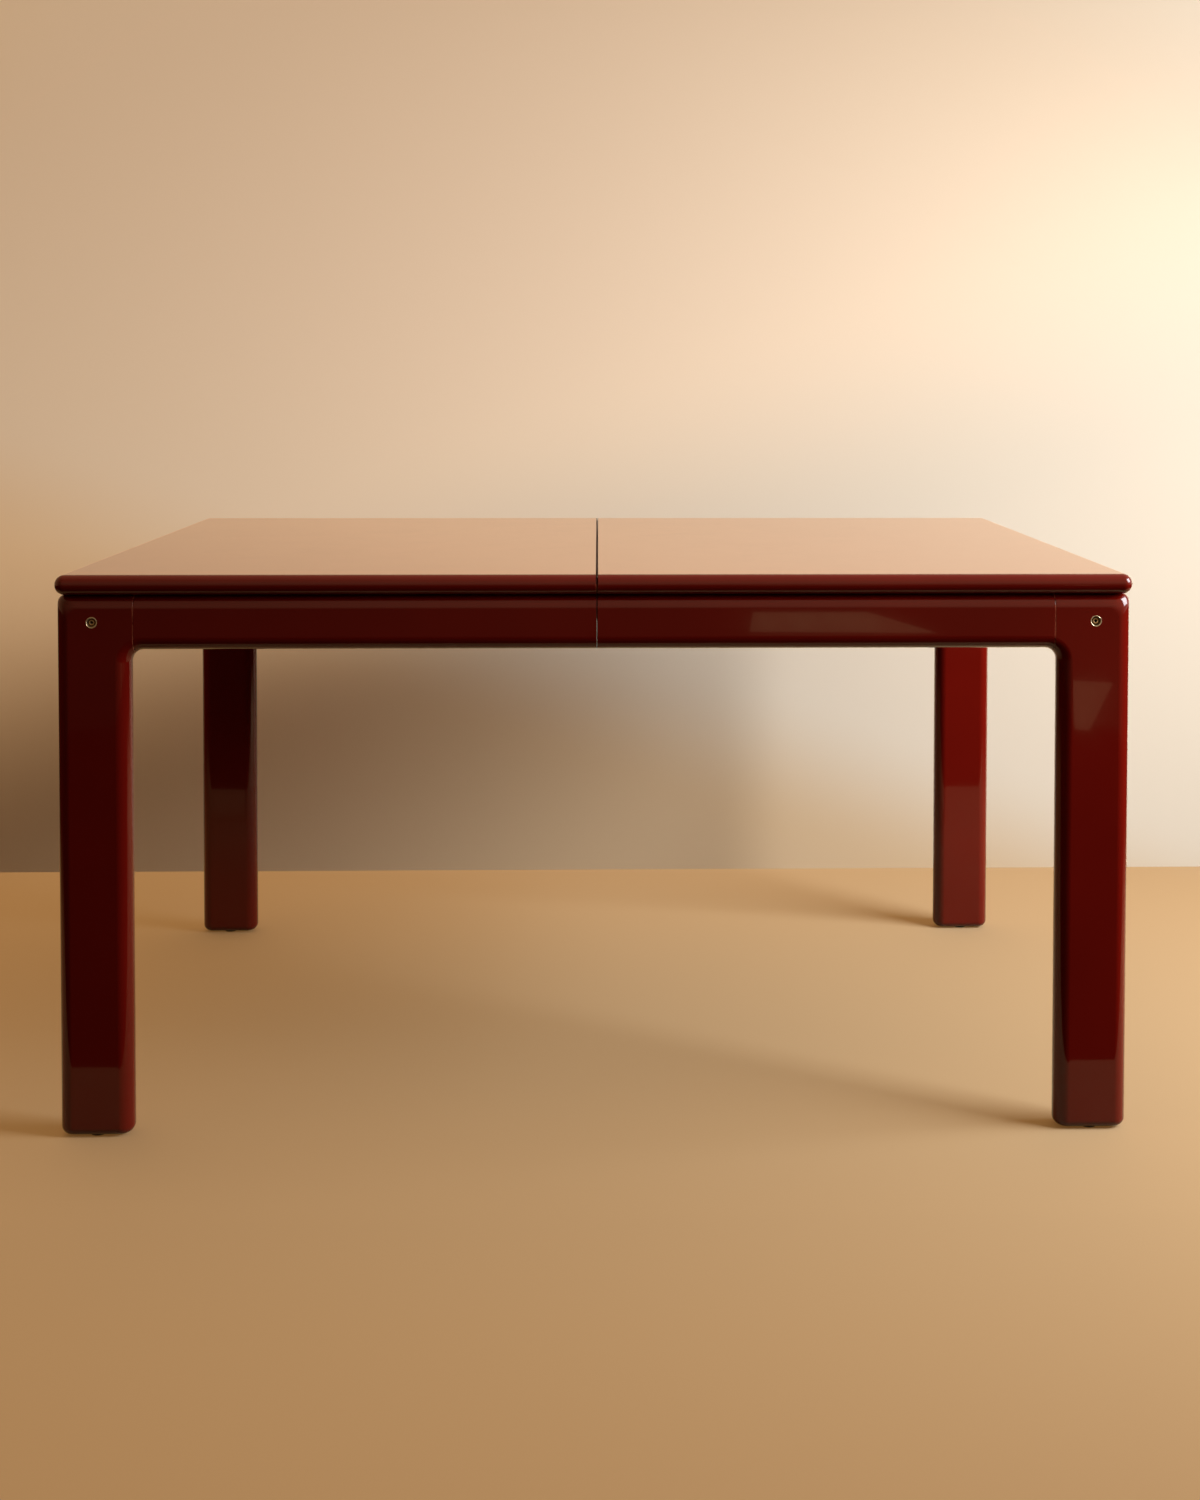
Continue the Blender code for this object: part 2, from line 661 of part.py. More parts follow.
def make_lock(end_name, end, left_half, right_half):
    """Swing lock across the seam. The lever is drawn engaged, pointing at +X, and is turned to
    its released place, pointing to the middle of the table."""
    y = end * LOCK_MIDDLE
    plate_z = FIXING_TOP - LOCK_PLATE / 2
    lever_top = FIXING_TOP - LOCK_PLATE - CLEARANCE
    lever_bottom = lever_top - LEVER_THICKNESS
    head_top = lever_bottom - CLEARANCE

    plate = piece(
        f"{end_name}_lock_plate",
        block(LOCK_PLATE_WIDTH, LOCK_PLATE_LENGTH, LOCK_PLATE),
        STEEL,
        left_half,
        (-LOCK_INSET, y, plate_z),
    )
    hole = rod(PIVOT_RADIUS + CLEARANCE, 2 * LOCK_PLATE)
    cut(plate, "pivot_hole", hole, (-LOCK_INSET, y, plate_z))

    rivet = turned(rivet_profile(PIVOT_RADIUS, FIXING_TOP - head_top))
    piece(f"{end_name}_lock_pivot", rivet, STEEL, left_half, (-LOCK_INSET, y, head_top))

    reach = 2 * LOCK_INSET
    half_width = LEVER_WIDTH / 2
    outline = arc((reach + LEVER_TIP - half_width, 0), half_width, -90, 90)
    outline += arc((half_width - LEVER_TAIL, 0), half_width, 90, 270)
    lever = piece(
        f"{end_name}_lock_lever",
        plank(outline, LEVER_THICKNESS),
        STEEL,
        left_half,
        (-LOCK_INSET, y, (lever_top + lever_bottom) / 2),
        (0, 0, -end * math.pi / 2),
    )
    slot = STUD_RADIUS + LOCK_PLAY
    deep = 2 * LEVER_THICKNESS
    cut(lever, "pivot_hole", rod(PIVOT_RADIUS + CLEARANCE, deep), lever.location)
    stud_place = Vector((-LOCK_INSET, y - end * reach, lever.location.z))
    cut(lever, "stud_seat", rod(slot, deep), stud_place)
    mouth = block(LEVER_WIDTH, 2 * slot, deep)
    cut(lever, "stud_mouth", mouth, stud_place + Vector((half_width, 0, 0)))

    keeper = piece(
        f"{end_name}_lock_keeper",
        block(LOCK_PLATE_WIDTH, LOCK_PLATE_LENGTH, LOCK_PLATE),
        STEEL,
        right_half,
        (LOCK_INSET, y, plate_z),
    )
    stud = turned(rivet_profile(STUD_RADIUS, FIXING_TOP - LOCK_PLATE / 2 - head_top))
    fuse(keeper, "stud", stud, (LOCK_INSET, y, head_top))


def rivet_profile(radius, length):
    """Shank that stands on z = 0, with a flat head below it."""
    return [
        (0, length),
        (radius, length),
        (radius, 0),
        (RIVET_HEAD_RADIUS, 0),
        (RIVET_HEAD_RADIUS, -RIVET_HEAD),
        (0, -RIVET_HEAD),
    ]


def make_half(side_name, side, half):
    make_top(side_name, side, half)
    make_end_rail(side_name, side, half)
    for end_name, end in ENDS.items():
        name = f"{end_name}_{side_name}"
        make_long_rail(name, side, end, half)
        make_leg(name, side, end, half)
        make_leg_fixing(name, side, end, half)
        make_glide(name, side, end, half)
        make_cleat(name, side, end, half)
        make_runner(name, side, end, half)


def make_carriage(carriage):
    for end_name, end in ENDS.items():
        make_centre_rail(end_name, end, carriage)
    for side_name, side in SIDES.items():
        make_batten(side_name, side, carriage)
        make_leaf_hinge(side_name, side, carriage)
    make_leaf(carriage)


for old in list(bpy.data.objects):
    bpy.data.objects.remove(old, do_unlink=True)

PARTS = collection("extending_dining_table")
CUTTERS = collection("cutters")
LACQUER = finish("oxblood lacquer", "#6B0F0A", 0.12)
BRASS = finish("brass", "#B08D57", 0.30, 1.0)
STEEL = finish("zinc-plated steel", "#9A9C9E", 0.35, 1.0)
BEECH = finish("oiled beech", "#C69C6D", 0.55)
NYLON = finish("dark nylon", "#2A2624", 0.60)

CENTRE_CARRIAGE = carrier("centre_carriage", (0, 0, TONGUE_MIDDLE))
HALVES = {
    name: carrier(f"{name}_half", (side * SEAM, 0, TONGUE_MIDDLE)) for name, side in SIDES.items()
}
make_carriage(CENTRE_CARRIAGE)
for half_name, half_side in SIDES.items():
    make_half(half_name, half_side, HALVES[half_name])
for lock_name, lock_end in ENDS.items():
    make_lock(lock_name, lock_end, HALVES["left"], HALVES["right"])
    make_dowel(lock_name, lock_end, HALVES["right"])
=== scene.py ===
"""Looks of an extending dining table: boards, legs and rails in oxblood gloss lacquer, beech runners
and carriage, brass leg bolts and leaf hinges, zinc-plated locks.

Metres, +Z up. The table is long in X and its front faces -Y. Every piece is built round the boxes of
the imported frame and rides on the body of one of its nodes. All but the screws and the dust strip take
that node's place.
"""

import json
import math

import bmesh
import bpy
from mathutils import Matrix, Vector

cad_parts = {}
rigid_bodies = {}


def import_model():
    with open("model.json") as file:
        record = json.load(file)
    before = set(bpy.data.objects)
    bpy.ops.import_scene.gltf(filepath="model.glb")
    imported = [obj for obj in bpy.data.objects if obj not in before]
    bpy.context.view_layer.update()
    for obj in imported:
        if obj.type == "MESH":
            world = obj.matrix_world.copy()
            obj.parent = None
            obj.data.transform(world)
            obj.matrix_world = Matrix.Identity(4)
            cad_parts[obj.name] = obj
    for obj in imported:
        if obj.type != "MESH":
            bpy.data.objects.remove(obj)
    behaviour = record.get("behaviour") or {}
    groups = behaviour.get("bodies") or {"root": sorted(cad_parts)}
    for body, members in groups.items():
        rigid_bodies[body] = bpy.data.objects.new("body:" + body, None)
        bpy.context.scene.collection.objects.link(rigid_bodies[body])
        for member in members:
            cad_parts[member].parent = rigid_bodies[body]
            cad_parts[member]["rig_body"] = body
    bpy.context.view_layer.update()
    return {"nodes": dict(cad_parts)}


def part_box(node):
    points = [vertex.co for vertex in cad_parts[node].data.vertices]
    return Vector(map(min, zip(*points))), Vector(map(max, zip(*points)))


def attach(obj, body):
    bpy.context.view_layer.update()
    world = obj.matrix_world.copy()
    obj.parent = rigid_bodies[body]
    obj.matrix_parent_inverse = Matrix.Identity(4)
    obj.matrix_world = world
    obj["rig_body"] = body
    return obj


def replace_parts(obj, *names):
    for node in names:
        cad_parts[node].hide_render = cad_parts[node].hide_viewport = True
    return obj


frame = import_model()

CORNERS = ((1, 1), (-1, 1), (-1, -1), (1, -1))
SIDES = {"left": -1, "right": 1}
ENDS = {"front": -1, "rear": 1}

# Gap between pieces that touch, as in the frame
CLEARANCE = 0.0003

# Boards, legs and rails
NOSING_FLAT = 0.0008
CORNER_SOFTENING = 0.0006
LEG_WIDTH = 0.095
FILLET_RADIUS = 0.016
FRAME_ROUND = 0.0182
FRAME_CORNER = 0.0106
FOOT_ROUND = 0.011
END_RAIL_ROUND = 0.006
SEAM_ARRIS = 0.0009
JOINT_ARRIS = 0.0008

# The rails close up here to these gaps, narrower than the frame's own
RAIL_SEAM_GAP = 0.0003
TOP_GAP = 0.0001
JOINT_GAP = 0.0001

# Holes for the dowels in the seam faces of the boards
DOWEL_HOLE_DEPTH = {"left": 0.0163, "right": 0.0231}

# Dust strip between the boards of the top: its gap to the right board, how far it stays below the top
# and inside the nosings, and its height
STRIP_PLAY = 0.0002
STRIP_DROP = 0.004
STRIP_INSET = 0.013
STRIP_HEIGHT = 0.021
STRIP_ARRIS = 0.0002

# Leg bolts, ferrules and nuts
FERRULE_WALL = 0.00155
FERRULE_FLOOR = 0.0015
FERRULE_CHAMFER = 0.0006
BOLT_RADIUS = 0.003
BOLT_HEAD_RADIUS = 0.0048
BOLT_FACE_RADIUS = 0.0036
BOLT_HEAD_HEIGHT = 0.0055
HEX_ACROSS_FLATS = 0.004
HEX_DEPTH = 0.0035
METAL_ARRIS = 0.00025
NUT_SLOT_WIDTH = 0.0014
NUT_SLOT_DEPTH = 0.0015

# Glides
GLIDE_NAIL_RADIUS = 0.002
GLIDE_HEIGHT = 0.0012
GLIDE_ARRIS = 0.0004

# Wooden parts under the top
WOOD_ARRIS = 0.0010
RUNNER_WIDTH = 0.022
RUNNER_SCREW_INSET = 0.045
BATTEN_SCREW_INSET = 0.012
CLEAT_TOP_SCREW_INSET = 0.020
CLEAT_RAIL_SCREW_INSET = 0.048
DOWEL_FLUTES = 12
DOWEL_FLUTE_DEPTH = 0.0004
DOWEL_TAPER = 0.0015
DOWEL_END_SHARE = 0.8

# Leaf hinges
HINGE_PLATE = 0.0016
HINGE_KNUCKLE_RADIUS = 0.0042
HINGE_SCREW_RISE = 0.0115
HINGE_SCREW_INSET = 0.009

# Locks
LEVER_WIDTH = 0.018
LEVER_TAIL = 0.024
PIVOT_RADIUS = 0.003
STUD_RADIUS = 0.0025
LOCK_PLAY = 0.0015
LOCK_CORNER = 0.003
LOCK_PLATE = 0.002
LEVER_ARRIS = 0.0006
LOCK_SCREW_INSET = 0.0050
LOCK_CORNER_STEPS = 5

# Dome of a rivet's head, in shares of its radius and of its height
RIVET_DOME = ((1, 0), (1, 0.45), (0.75, 0.85), (0, 1))

# Countersunk screws, by the radius of their heads
WOOD_SCREW = 0.0040
PLATE_SCREW = 0.0024
HINGE_SCREW = 0.0020
SCREW_SEAT_GAP = 0.0001

# Their shapes in shares of that radius: the shank's radius, the height of the cone, half the length,
# width and depth of the cross recess, and the arris
SCREW_SHANK = 0.45
SCREW_CONE = 0.6
SCREW_RECESS = (0.62, 0.15, 0.4)
SCREW_ARRIS = 0.06

# Facets of round shapes
ARC_STEPS = 14
ROUND_STEPS = 12
TURN_STEPS = 56
EASE_STEPS = 3
SHARP_ANGLE = math.radians(40)
FLAT_ANGLE = math.radians(1)
MERGE_DISTANCE = 1e-6

# Points this near to a plane lie in it
PLANE_TOLERANCE = 1e-5

# Turns that point a shape made along +Z another way
ALONG_X = Matrix.Rotation(math.pi / 2, 4, "Y")
UPRIGHT = Matrix.Rotation(math.pi / 2, 4, "X")
DOWNWARD = Matrix.Rotation(math.pi, 4, "X")


# Finishes


def linear(hex_colour):
    """Linear RGBA of an sRGB hex colour."""
    channels = [int(hex_colour[i : i + 2], 16) / 255 for i in (1, 3, 5)]
    return [c / 12.92 if c <= 0.04045 else ((c + 0.055) / 1.055) ** 2.4 for c in channels] + [1]


def feed(node, inputs):
    """Sets inputs of a node, by name or number, to values, to sockets, or to other nodes, which
    stand for their first output in use."""
    for key, value in inputs.items():
        if isinstance(value, bpy.types.Node):
            value = next(socket for socket in value.outputs if socket.enabled)
        if isinstance(value, bpy.types.NodeSocket):
            node.id_data.links.new(value, node.inputs[key])
        else:
            node.inputs[key].default_value = value


def add(tree, kind, inputs=None, **settings):
    """Adds a shader node with its settings and inputs."""
    made = tree.nodes.new(f"ShaderNode{kind}")
    for name, value in settings.items():
        setattr(made, name, value)
    feed(made, inputs or {})
    return made


# Sockets and setting of a Mix node that mixes colours, and setting of a smooth Map Range node
MIX_A, MIX_B = 6, 7
RGBA = {"data_type": "RGBA"}
SMOOTH = {"interpolation_type": "SMOOTHSTEP"}


def blank(name):
    """New material, with its node tree and its shader."""
    material = bpy.data.materials.new(name)
    material.use_nodes = True
    return material, material.node_tree, material.node_tree.nodes["Principled BSDF"]


def lacquer():
    """Polyester lacquer, sprayed in oxblood and polished to a hard gloss. The eye sees a deep even
    red under mirror-like reflections that waver a little, and paler thin lacquer on worn arrises."""
    material, tree, shader = blank("oxblood polyester lacquer")
    place = add(tree, "TexCoord").outputs["Object"]

    # The red drifts over about 180 mm, as the spray was laid on
    drift = add(tree, "TexNoise", {"Vector": place, "Scale": 1 / 0.18, "Detail": 2})
    red = add(tree, "Mix", {0: drift, MIX_A: linear("#620C05"), MIX_B: linear("#731108")}, **RGBA)

    # Rubbed stretches of arris, 9 mm apart, show thin lacquer
    rub = add(tree, "TexNoise", {"Vector": place, "Scale": 1 / 0.009, "Detail": 4})
    rubbed = add(tree, "MapRange", {"Value": rub, "From Min": 0.36, "From Max": 0.62, "To Max": 0.8})
    arris = add(tree, "Attribute", attribute_name="arris").outputs["Fac"]
    worn = add(tree, "Math", {0: rubbed, 1: arris}, operation="MULTIPLY")
    colour = add(tree, "Mix", {0: worn, MIX_A: red, MIX_B: linear("#A9553C")}, **RGBA)

    # Hand and cloth marks, 70 mm across, dull the gloss a little
    smear = add(
        tree,
        "TexNoise",
        {"Vector": place, "Scale": 1 / 0.07, "Detail": 5, "Roughness": 0.65, "Distortion": 0.8},
    )
    dull = add(
        tree,
        "MapRange",
        {"Value": smear, "From Min": 0.35, "From Max": 0.75, "To Min": 0.05, "To Max": 0.13},
    )

    # Orange peel of 5 mm, and the 60 mm swell of the board under the lacquer
    peel = add(tree, "TexNoise", {"Vector": place, "Scale": 1 / 0.005, "Detail": 1})
    swell = add(tree, "TexNoise", {"Vector": place, "Scale": 1 / 0.06, "Detail": 0})
    rough = add(tree, "Bump", {"Height": peel, "Distance": 0.000004})
    wavy = add(tree, "Bump", {"Height": swell, "Distance": 0.00004, "Normal": rough})

    # IOR below the usual 1.5, because the fronts mirror the room only faintly
    feed(shader, {"Base Color": colour, "Roughness": dull, "Normal": wavy, "IOR": 1.27})
    feed(shader, {"Coat Weight": 0.9, "Coat Roughness": 0.02, "Coat IOR": 1.27})
    return material


def seam_sealed_and_painted_shade():
    """Butt faces at the seam, sealed with thinned lacquer and left matt, and the top arris beside them:
    painted dark as the shade in the seam, so that the seam reads as a dark line."""
    material, tree, shader = blank("board edge sealed and in painted shade")
    place = add(tree, "TexCoord").outputs["Object"]

    # Sanding streaks of 2 mm
    streaks = add(tree, "TexNoise", {"Vector": place, "Scale": 1 / 0.002, "Detail": 3})
    colour = add(tree, "Mix", {0: streaks, MIX_A: linear("#1E0503"), MIX_B: linear("#3A0B06")}, **RGBA)
    matt = add(tree, "MapRange", {"Value": streaks, "To Min": 0.7, "To Max": 0.9})
    feed(shader, {"Base Color": colour, "Roughness": matt, "Specular IOR Level": 0.1})
    return material


def brass(name, bright, tarnished, rubbed):
    """Turned brass: warm, soft-edged in its gloss, browner where it is mottled with tarnish and
    brighter where its edges are rubbed."""
    material, tree, shader = blank(name)
    place = add(tree, "TexCoord").outputs["Object"]

    # Tarnish in blots of 3 mm
    blots = add(tree, "TexNoise", {"Vector": place, "Scale": 1 / 0.003, "Detail": 4})
    tarnish = add(
        tree, "MapRange", {"Value": blots, "From Min": 0.40, "From Max": 0.70, "To Max": 0.7}
    )
    mottled = add(tree, "Mix", {0: tarnish, MIX_A: linear(bright), MIX_B: linear(tarnished)}, **RGBA)
    arris = add(tree, "Attribute", attribute_name="arris").outputs["Fac"]
    colour = add(tree, "Mix", {0: arris, MIX_A: mottled, MIX_B: linear(rubbed)}, **RGBA)
    dull = add(
        tree, "MapRange", {"Value": tarnish, "From Max": 0.7, "To Min": 0.34, "To Max": 0.55}
    )

    # Tool marks of 0.4 mm, coarser than turning leaves them, so that they show
    marks = add(tree, "TexNoise", {"Vector": place, "Scale": 1 / 0.0004, "Detail": 1})
    bump = add(tree, "Bump", {"Height": marks, "Distance": 0.00002})
    feed(shader, {"Base Color": colour, "Roughness": dull, "Normal": bump, "Metallic": 1.0})
    return material


def zinc_plated_steel():
    """Pressed steel with a zinc coat: cool grey, cloudy in patches, with a satin gloss and bright
    edges where parts rub on each other."""
    material, tree, shader = blank("zinc-plated steel")
    place = add(tree, "TexCoord").outputs["Object"]

    # Clouds of 6 mm in the plating
    cloud = add(tree, "TexNoise", {"Vector": place, "Scale": 1 / 0.006, "Detail": 5})
    grey = add(tree, "Mix", {0: cloud, MIX_A: linear("#8F9498"), MIX_B: linear("#B9BBBC")}, **RGBA)
    arris = add(tree, "Attribute", attribute_name="arris").outputs["Fac"]
    colour = add(tree, "Mix", {0: arris, MIX_A: grey, MIX_B: linear("#D2D3D4")}, **RGBA)
    satin = add(
        tree,
        "MapRange",
        {"Value": cloud, "From Min": 0.3, "From Max": 0.7, "To Min": 0.30, "To Max": 0.48},
    )

    # Rolling lines of 0.5 mm along Y, drawn coarser than they are so that they show
    lines = add(tree, "Mapping", {"Vector": place, "Scale": (1 / 0.0005, 1 / 0.02, 1 / 0.0005)})
    rolled = add(tree, "TexNoise", {"Vector": lines, "Scale": 1.0, "Detail": 2})
    bump = add(tree, "Bump", {"Height": rolled, "Distance": 0.00001})
    feed(shader, {"Base Color": colour, "Roughness": satin, "Normal": bump, "Metallic": 1.0})
    return material


def beech(grain):
    """Planed and oiled beech with its grain along X or Y: pinkish tan, in soft bands of growth, with
    the short dark flecks that mark beech, and darker arrises where hands and dust have been."""
    material, tree, shader = blank(f"oiled beech along {grain}")
    place = add(tree, "TexCoord").outputs["Object"]

    def stretched(across, along):
        """Object coordinates in which a pattern of size 1 is this wide and this long in metres."""
        scale = [1 / across, 1 / across, 1 / across]
        scale["XY".index(grain)] = 1 / along
        return add(tree, "Mapping", {"Vector": place, "Scale": scale})

    # Growth bands of 7 mm that run the length of the piece
    bands = add(tree, "TexNoise", {"Vector": stretched(0.007, 0.5), "Scale": 1.0, "Detail": 3})
    wood = add(tree, "Mix", {0: bands, MIX_A: linear("#B98C5E"), MIX_B: linear("#D2AC7E")}, **RGBA)

    # Flecks 0.6 mm wide and 4 mm long, a little coarser than real ones so that they show
    flecks = add(tree, "TexNoise", {"Vector": stretched(0.0006, 0.004), "Scale": 1.0, "Detail": 1})
    fleck = add(
        tree, "MapRange", {"Value": flecks, "From Min": 0.60, "From Max": 0.70, "To Max": 0.6}
    )
    flecked = add(tree, "Mix", {0: fleck, MIX_A: wood, MIX_B: linear("#8A5F3B")}, **RGBA)
    arris = add(tree, "Attribute", attribute_name="arris").outputs["Fac"]
    handled = add(tree, "Math", {0: arris, 1: 0.45}, operation="MULTIPLY")
    colour = add(tree, "Mix", {0: handled, MIX_A: flecked, MIX_B: linear("#7A5636")}, **RGBA)
    open_pores = add(
        tree,
        "MapRange",
        {"Value": flecks, "From Min": 0.3, "From Max": 0.7, "To Min": 0.46, "To Max": 0.64},
    )
    bump = add(tree, "Bump", {"Height": flecks, "Distance": 0.00006})
    feed(shader, {"Base Color": colour, "Roughness": open_pores, "Normal": bump})
    return material


def nylon():
    """Moulded nylon: near-black brown, matt, with a fine spark-eroded grain and scuffed edges."""
    material, tree, shader = blank("moulded nylon")
    place = add(tree, "TexCoord").outputs["Object"]

    # Mould grain of 0.5 mm, coarser than it is so that it shows
    grain = add(tree, "TexNoise", {"Vector": place, "Scale": 1 / 0.0005, "Detail": 2})
    arris = add(tree, "Attribute", attribute_name="arris").outputs["Fac"]
    scuffed = add(tree, "Math", {0: grain, 1: arris}, operation="MULTIPLY")
    colour = add(tree, "Mix", {0: scuffed, MIX_A: linear("#2A2624"), MIX_B: linear("#5A5450")}, **RGBA)
    matt = add(tree, "MapRange", {"Value": grain, "To Min": 0.50, "To Max": 0.70})
    bump = add(tree, "Bump", {"Height": grain, "Distance": 0.00003})
    feed(shader, {"Base Color": colour, "Roughness": matt, "Normal": bump})
    return material


# Each finish with the record's slot that it belongs to. The seam faces and their top arris, sealed
# and painted dark as the shade of the seam, and the sockets, rims and sides of the bolt heads, painted
# dark as the shade of their recess and in the sockets also dirty, take the second material.
FINISHES = {
    "lacquer": ([lacquer(), seam_sealed_and_painted_shade()], "lacquer"),
    "brass": ([brass("turned brass", "#F0DCB8", "#C7A574", "#FBEBCB")], "brass"),
    "aged brass": (
        [
            brass("aged brass", "#E0B888", "#A9824F", "#FBEBCB"),
            # Dark brass for the sockets and the rims and sides of the bolt heads: painted shade of
            # their recess, and in the sockets also dirt
            brass("brass in painted shade", "#3A2A1C", "#20150D", "#5A432C"),
        ],
        "brass",
    ),
    "steel": ([zinc_plated_steel()], "steel"),
    "beech along X": ([beech("X")], "beech"),
    "beech along Y": ([beech("Y")], "beech"),
    "nylon": ([nylon()], "nylon"),
}
# Index of the second material, the dark one that holds painted shade
PAINTED_SHADE_SLOT = 1


# Shapes


def arc(centre, radius, start, end):
    """Points on an arc between two angles in degrees."""
    angles = [math.radians(start + (end - start) * i / ARC_STEPS) for i in range(ARC_STEPS + 1)]
    return [(centre[0] + radius * math.cos(a), centre[1] + radius * math.sin(a)) for a in angles]


def bevel(bm, edges, width, steps):
    return bmesh.ops.bevel(
        bm,
        geom=edges,
        offset=width,
        segments=steps,
        profile=0.5,
        affect="EDGES",
        clamp_overlap=False,
        material=-1,
    )["faces"]


def ease(bm, width, steps=EASE_STEPS):
    """Rounds every sharp edge, and marks the new faces as arris, where the finishes show wear."""
    mark = bm.faces.layers.float.get("arris") or bm.faces.layers.float.new("arris")
    sharp = [e for e in bm.edges if e.calc_face_angle(0.0) > SHARP_ANGLE]
    for face in bevel(bm, sharp, width, steps):
        face[mark] = 1.0
    return bm


def plank(outline, thickness, round_over=0.0):
    """Plank of a flat outline in X and Y, centred on z = 0, with its rims rounded over."""
    bm = bmesh.new()
    face = bm.faces.new([bm.verts.new((x, y, -thickness / 2)) for x, y in outline])
    grown = bmesh.ops.extrude_face_region(bm, geom=[face])["geom"]
    lifted = [v for v in grown if isinstance(v, bmesh.types.BMVert)]
    bmesh.ops.translate(bm, vec=(0, 0, thickness), verts=lifted)
    if round_over > 0:
        rims = [e for e in bm.edges if e.verts[0].co.z == e.verts[1].co.z]
        bevel(bm, rims, round_over, ROUND_STEPS)
    bmesh.ops.recalc_face_normals(bm, faces=bm.faces)
    return bm


def keep_below(bm, point, normal):
    """Cuts off what lies past a plane, on the side of its normal, and closes the cut."""
    geom = bm.verts[:] + bm.edges[:] + bm.faces[:]
    found = bmesh.ops.bisect_plane(bm, geom=geom, plane_co=point, plane_no=normal, clear_outer=True)
    rim = [e for e in found["geom_cut"] if isinstance(e, bmesh.types.BMEdge)]
    bmesh.ops.edgeloop_fill(bm, edges=rim)
    bmesh.ops.recalc_face_normals(bm, faces=bm.faces)
    return bm


def block(low, high):
    """Block between two corners."""
    size = Vector(high) - Vector(low)
    bm = bmesh.new()
    bmesh.ops.create_cube(bm, size=1)
    bmesh.ops.scale(bm, vec=size, verts=bm.verts)
    bmesh.ops.translate(bm, vec=Vector(low) + size / 2, verts=bm.verts)
    return bm


def rod(radius, length, sides=TURN_STEPS):
    """Cylinder along Z, centred on the origin."""
    bm = bmesh.new()
    bmesh.ops.create_cone(
        bm, cap_ends=True, segments=sides, radius1=radius, radius2=radius, depth=length
    )
    return bm


def turned(profile):
    """Solid of revolution about Z of a profile of (radius, height) points, a closed ring if it
    stays off the axis."""
    bm = bmesh.new()
    verts = [bm.verts.new((radius, 0, height)) for radius, height in profile]
    edges = [bm.edges.new(pair) for pair in zip(verts, verts[1:])]
    if profile[0][0] > 0:
        edges.append(bm.edges.new((verts[-1], verts[0])))
    bmesh.ops.spin(
        bm,
        geom=verts + edges,
        axis=(0, 0, 1),
        angle=2 * math.pi,
        steps=TURN_STEPS,
        use_merge=True,
    )
    bmesh.ops.remove_doubles(bm, verts=bm.verts, dist=MERGE_DISTANCE)
    bmesh.ops.recalc_face_normals(bm, faces=bm.faces)
    return bm


def moved(bm, place, turn=Matrix.Identity(4)):
    """The same shape, turned and then put at a place."""
    bm.transform(Matrix.Translation(place) @ turn)
    return bm


def copies(shape, places, turn):
    """One bmesh that holds a copy of a shape at each place."""
    made = bmesh.new()
    mesh = bpy.data.meshes.new("copy")
    for place in places:
        copy = moved(shape.copy(), place, turn)
        copy.to_mesh(mesh)
        copy.free()
        made.from_mesh(mesh)
    bpy.data.meshes.remove(mesh)
    return made


def boolean(operation, bm, *others):
    """A solid with other solids cut from it or joined to it."""
    helpers = []
    for shape in (bm, *others):
        helper = bpy.data.objects.new("helper", bpy.data.meshes.new("helper"))
        shape.to_mesh(helper.data)
        shape.free()
        bpy.context.scene.collection.objects.link(helper)
        helpers.append(helper)
    for other in helpers[1:]:
        modifier = helpers[0].modifiers.new("boolean", "BOOLEAN")
        modifier.operation = operation
        modifier.object = other
    made = bmesh.new()
    made.from_object(helpers[0], bpy.context.evaluated_depsgraph_get())
    for helper in helpers:
        bpy.data.meshes.remove(helper.data)
    bmesh.ops.remove_doubles(made, verts=made.verts, dist=MERGE_DISTANCE)
    return made


def cad_copy(node):
    """Copy of a node's solid, merged, with its flat triangles joined into whole faces."""
    bm = bmesh.new()
    bm.from_mesh(frame["nodes"][node].data)
    bmesh.ops.remove_doubles(bm, verts=bm.verts, dist=MERGE_DISTANCE)
    bmesh.ops.dissolve_limit(bm, angle_limit=FLAT_ANGLE, verts=bm.verts, edges=bm.edges)
    return bm


# Pieces


def extra(name, bm, finish, node):
    """Finished piece that rides on the body of a node of the frame."""
    bmesh.ops.recalc_face_normals(bm, faces=bm.faces)
    mesh = bpy.data.meshes.new(name)
    bm.to_mesh(mesh)
    bm.free()
    mesh.shade_smooth()
    mesh.set_sharp_from_angle(angle=SHARP_ANGLE)
    materials, slot = FINISHES[finish]
    for material in materials:
        mesh.materials.append(material)
    obj = bpy.data.objects.new(name, mesh)
    bpy.context.scene.collection.objects.link(obj)

    # Keeps the large flat faces flat in their reflections, beside the rounded edges
    even = obj.modifiers.new("even shading", "WEIGHTED_NORMAL")
    even.keep_sharp = True
    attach(obj, frame["nodes"][node]["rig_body"])
    return obj


def piece(node, bm, finish):
    """Finished piece that takes the place of a node of the frame."""
    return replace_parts(extra(f"{node}_piece", bm, finish, node), node)


def mark_seam_painted_shade(bm, x):
    """Marks the faces that lie in a cut across X, and their arris along the top, for the dark matt
    second material: sealed butt faces, and painted shade of the seam on their arris."""
    for face in bm.faces:
        # The arris that looks up is painted dark too: painted shade of the seam
        reach = SEAM_ARRIS if face.normal.z > 0.1 else 0
        if all(abs(v.co.x - x) < reach + PLANE_TOLERANCE for v in face.verts):
            face.material_index = PAINTED_SHADE_SLOT
    return bm


def middle_of(node):
    low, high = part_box(node)
    return (low + high) / 2


def screw_profile(radius, gap=0.0):
    """Countersunk head that is flush with z = 0, and the start of its shank."""
    shank = SCREW_SHANK * radius
    drop = SCREW_CONE * radius
    return [(0, 0), (radius, 0), (shank, -drop), (shank, -2 * drop), (0, -2 * drop - gap)]


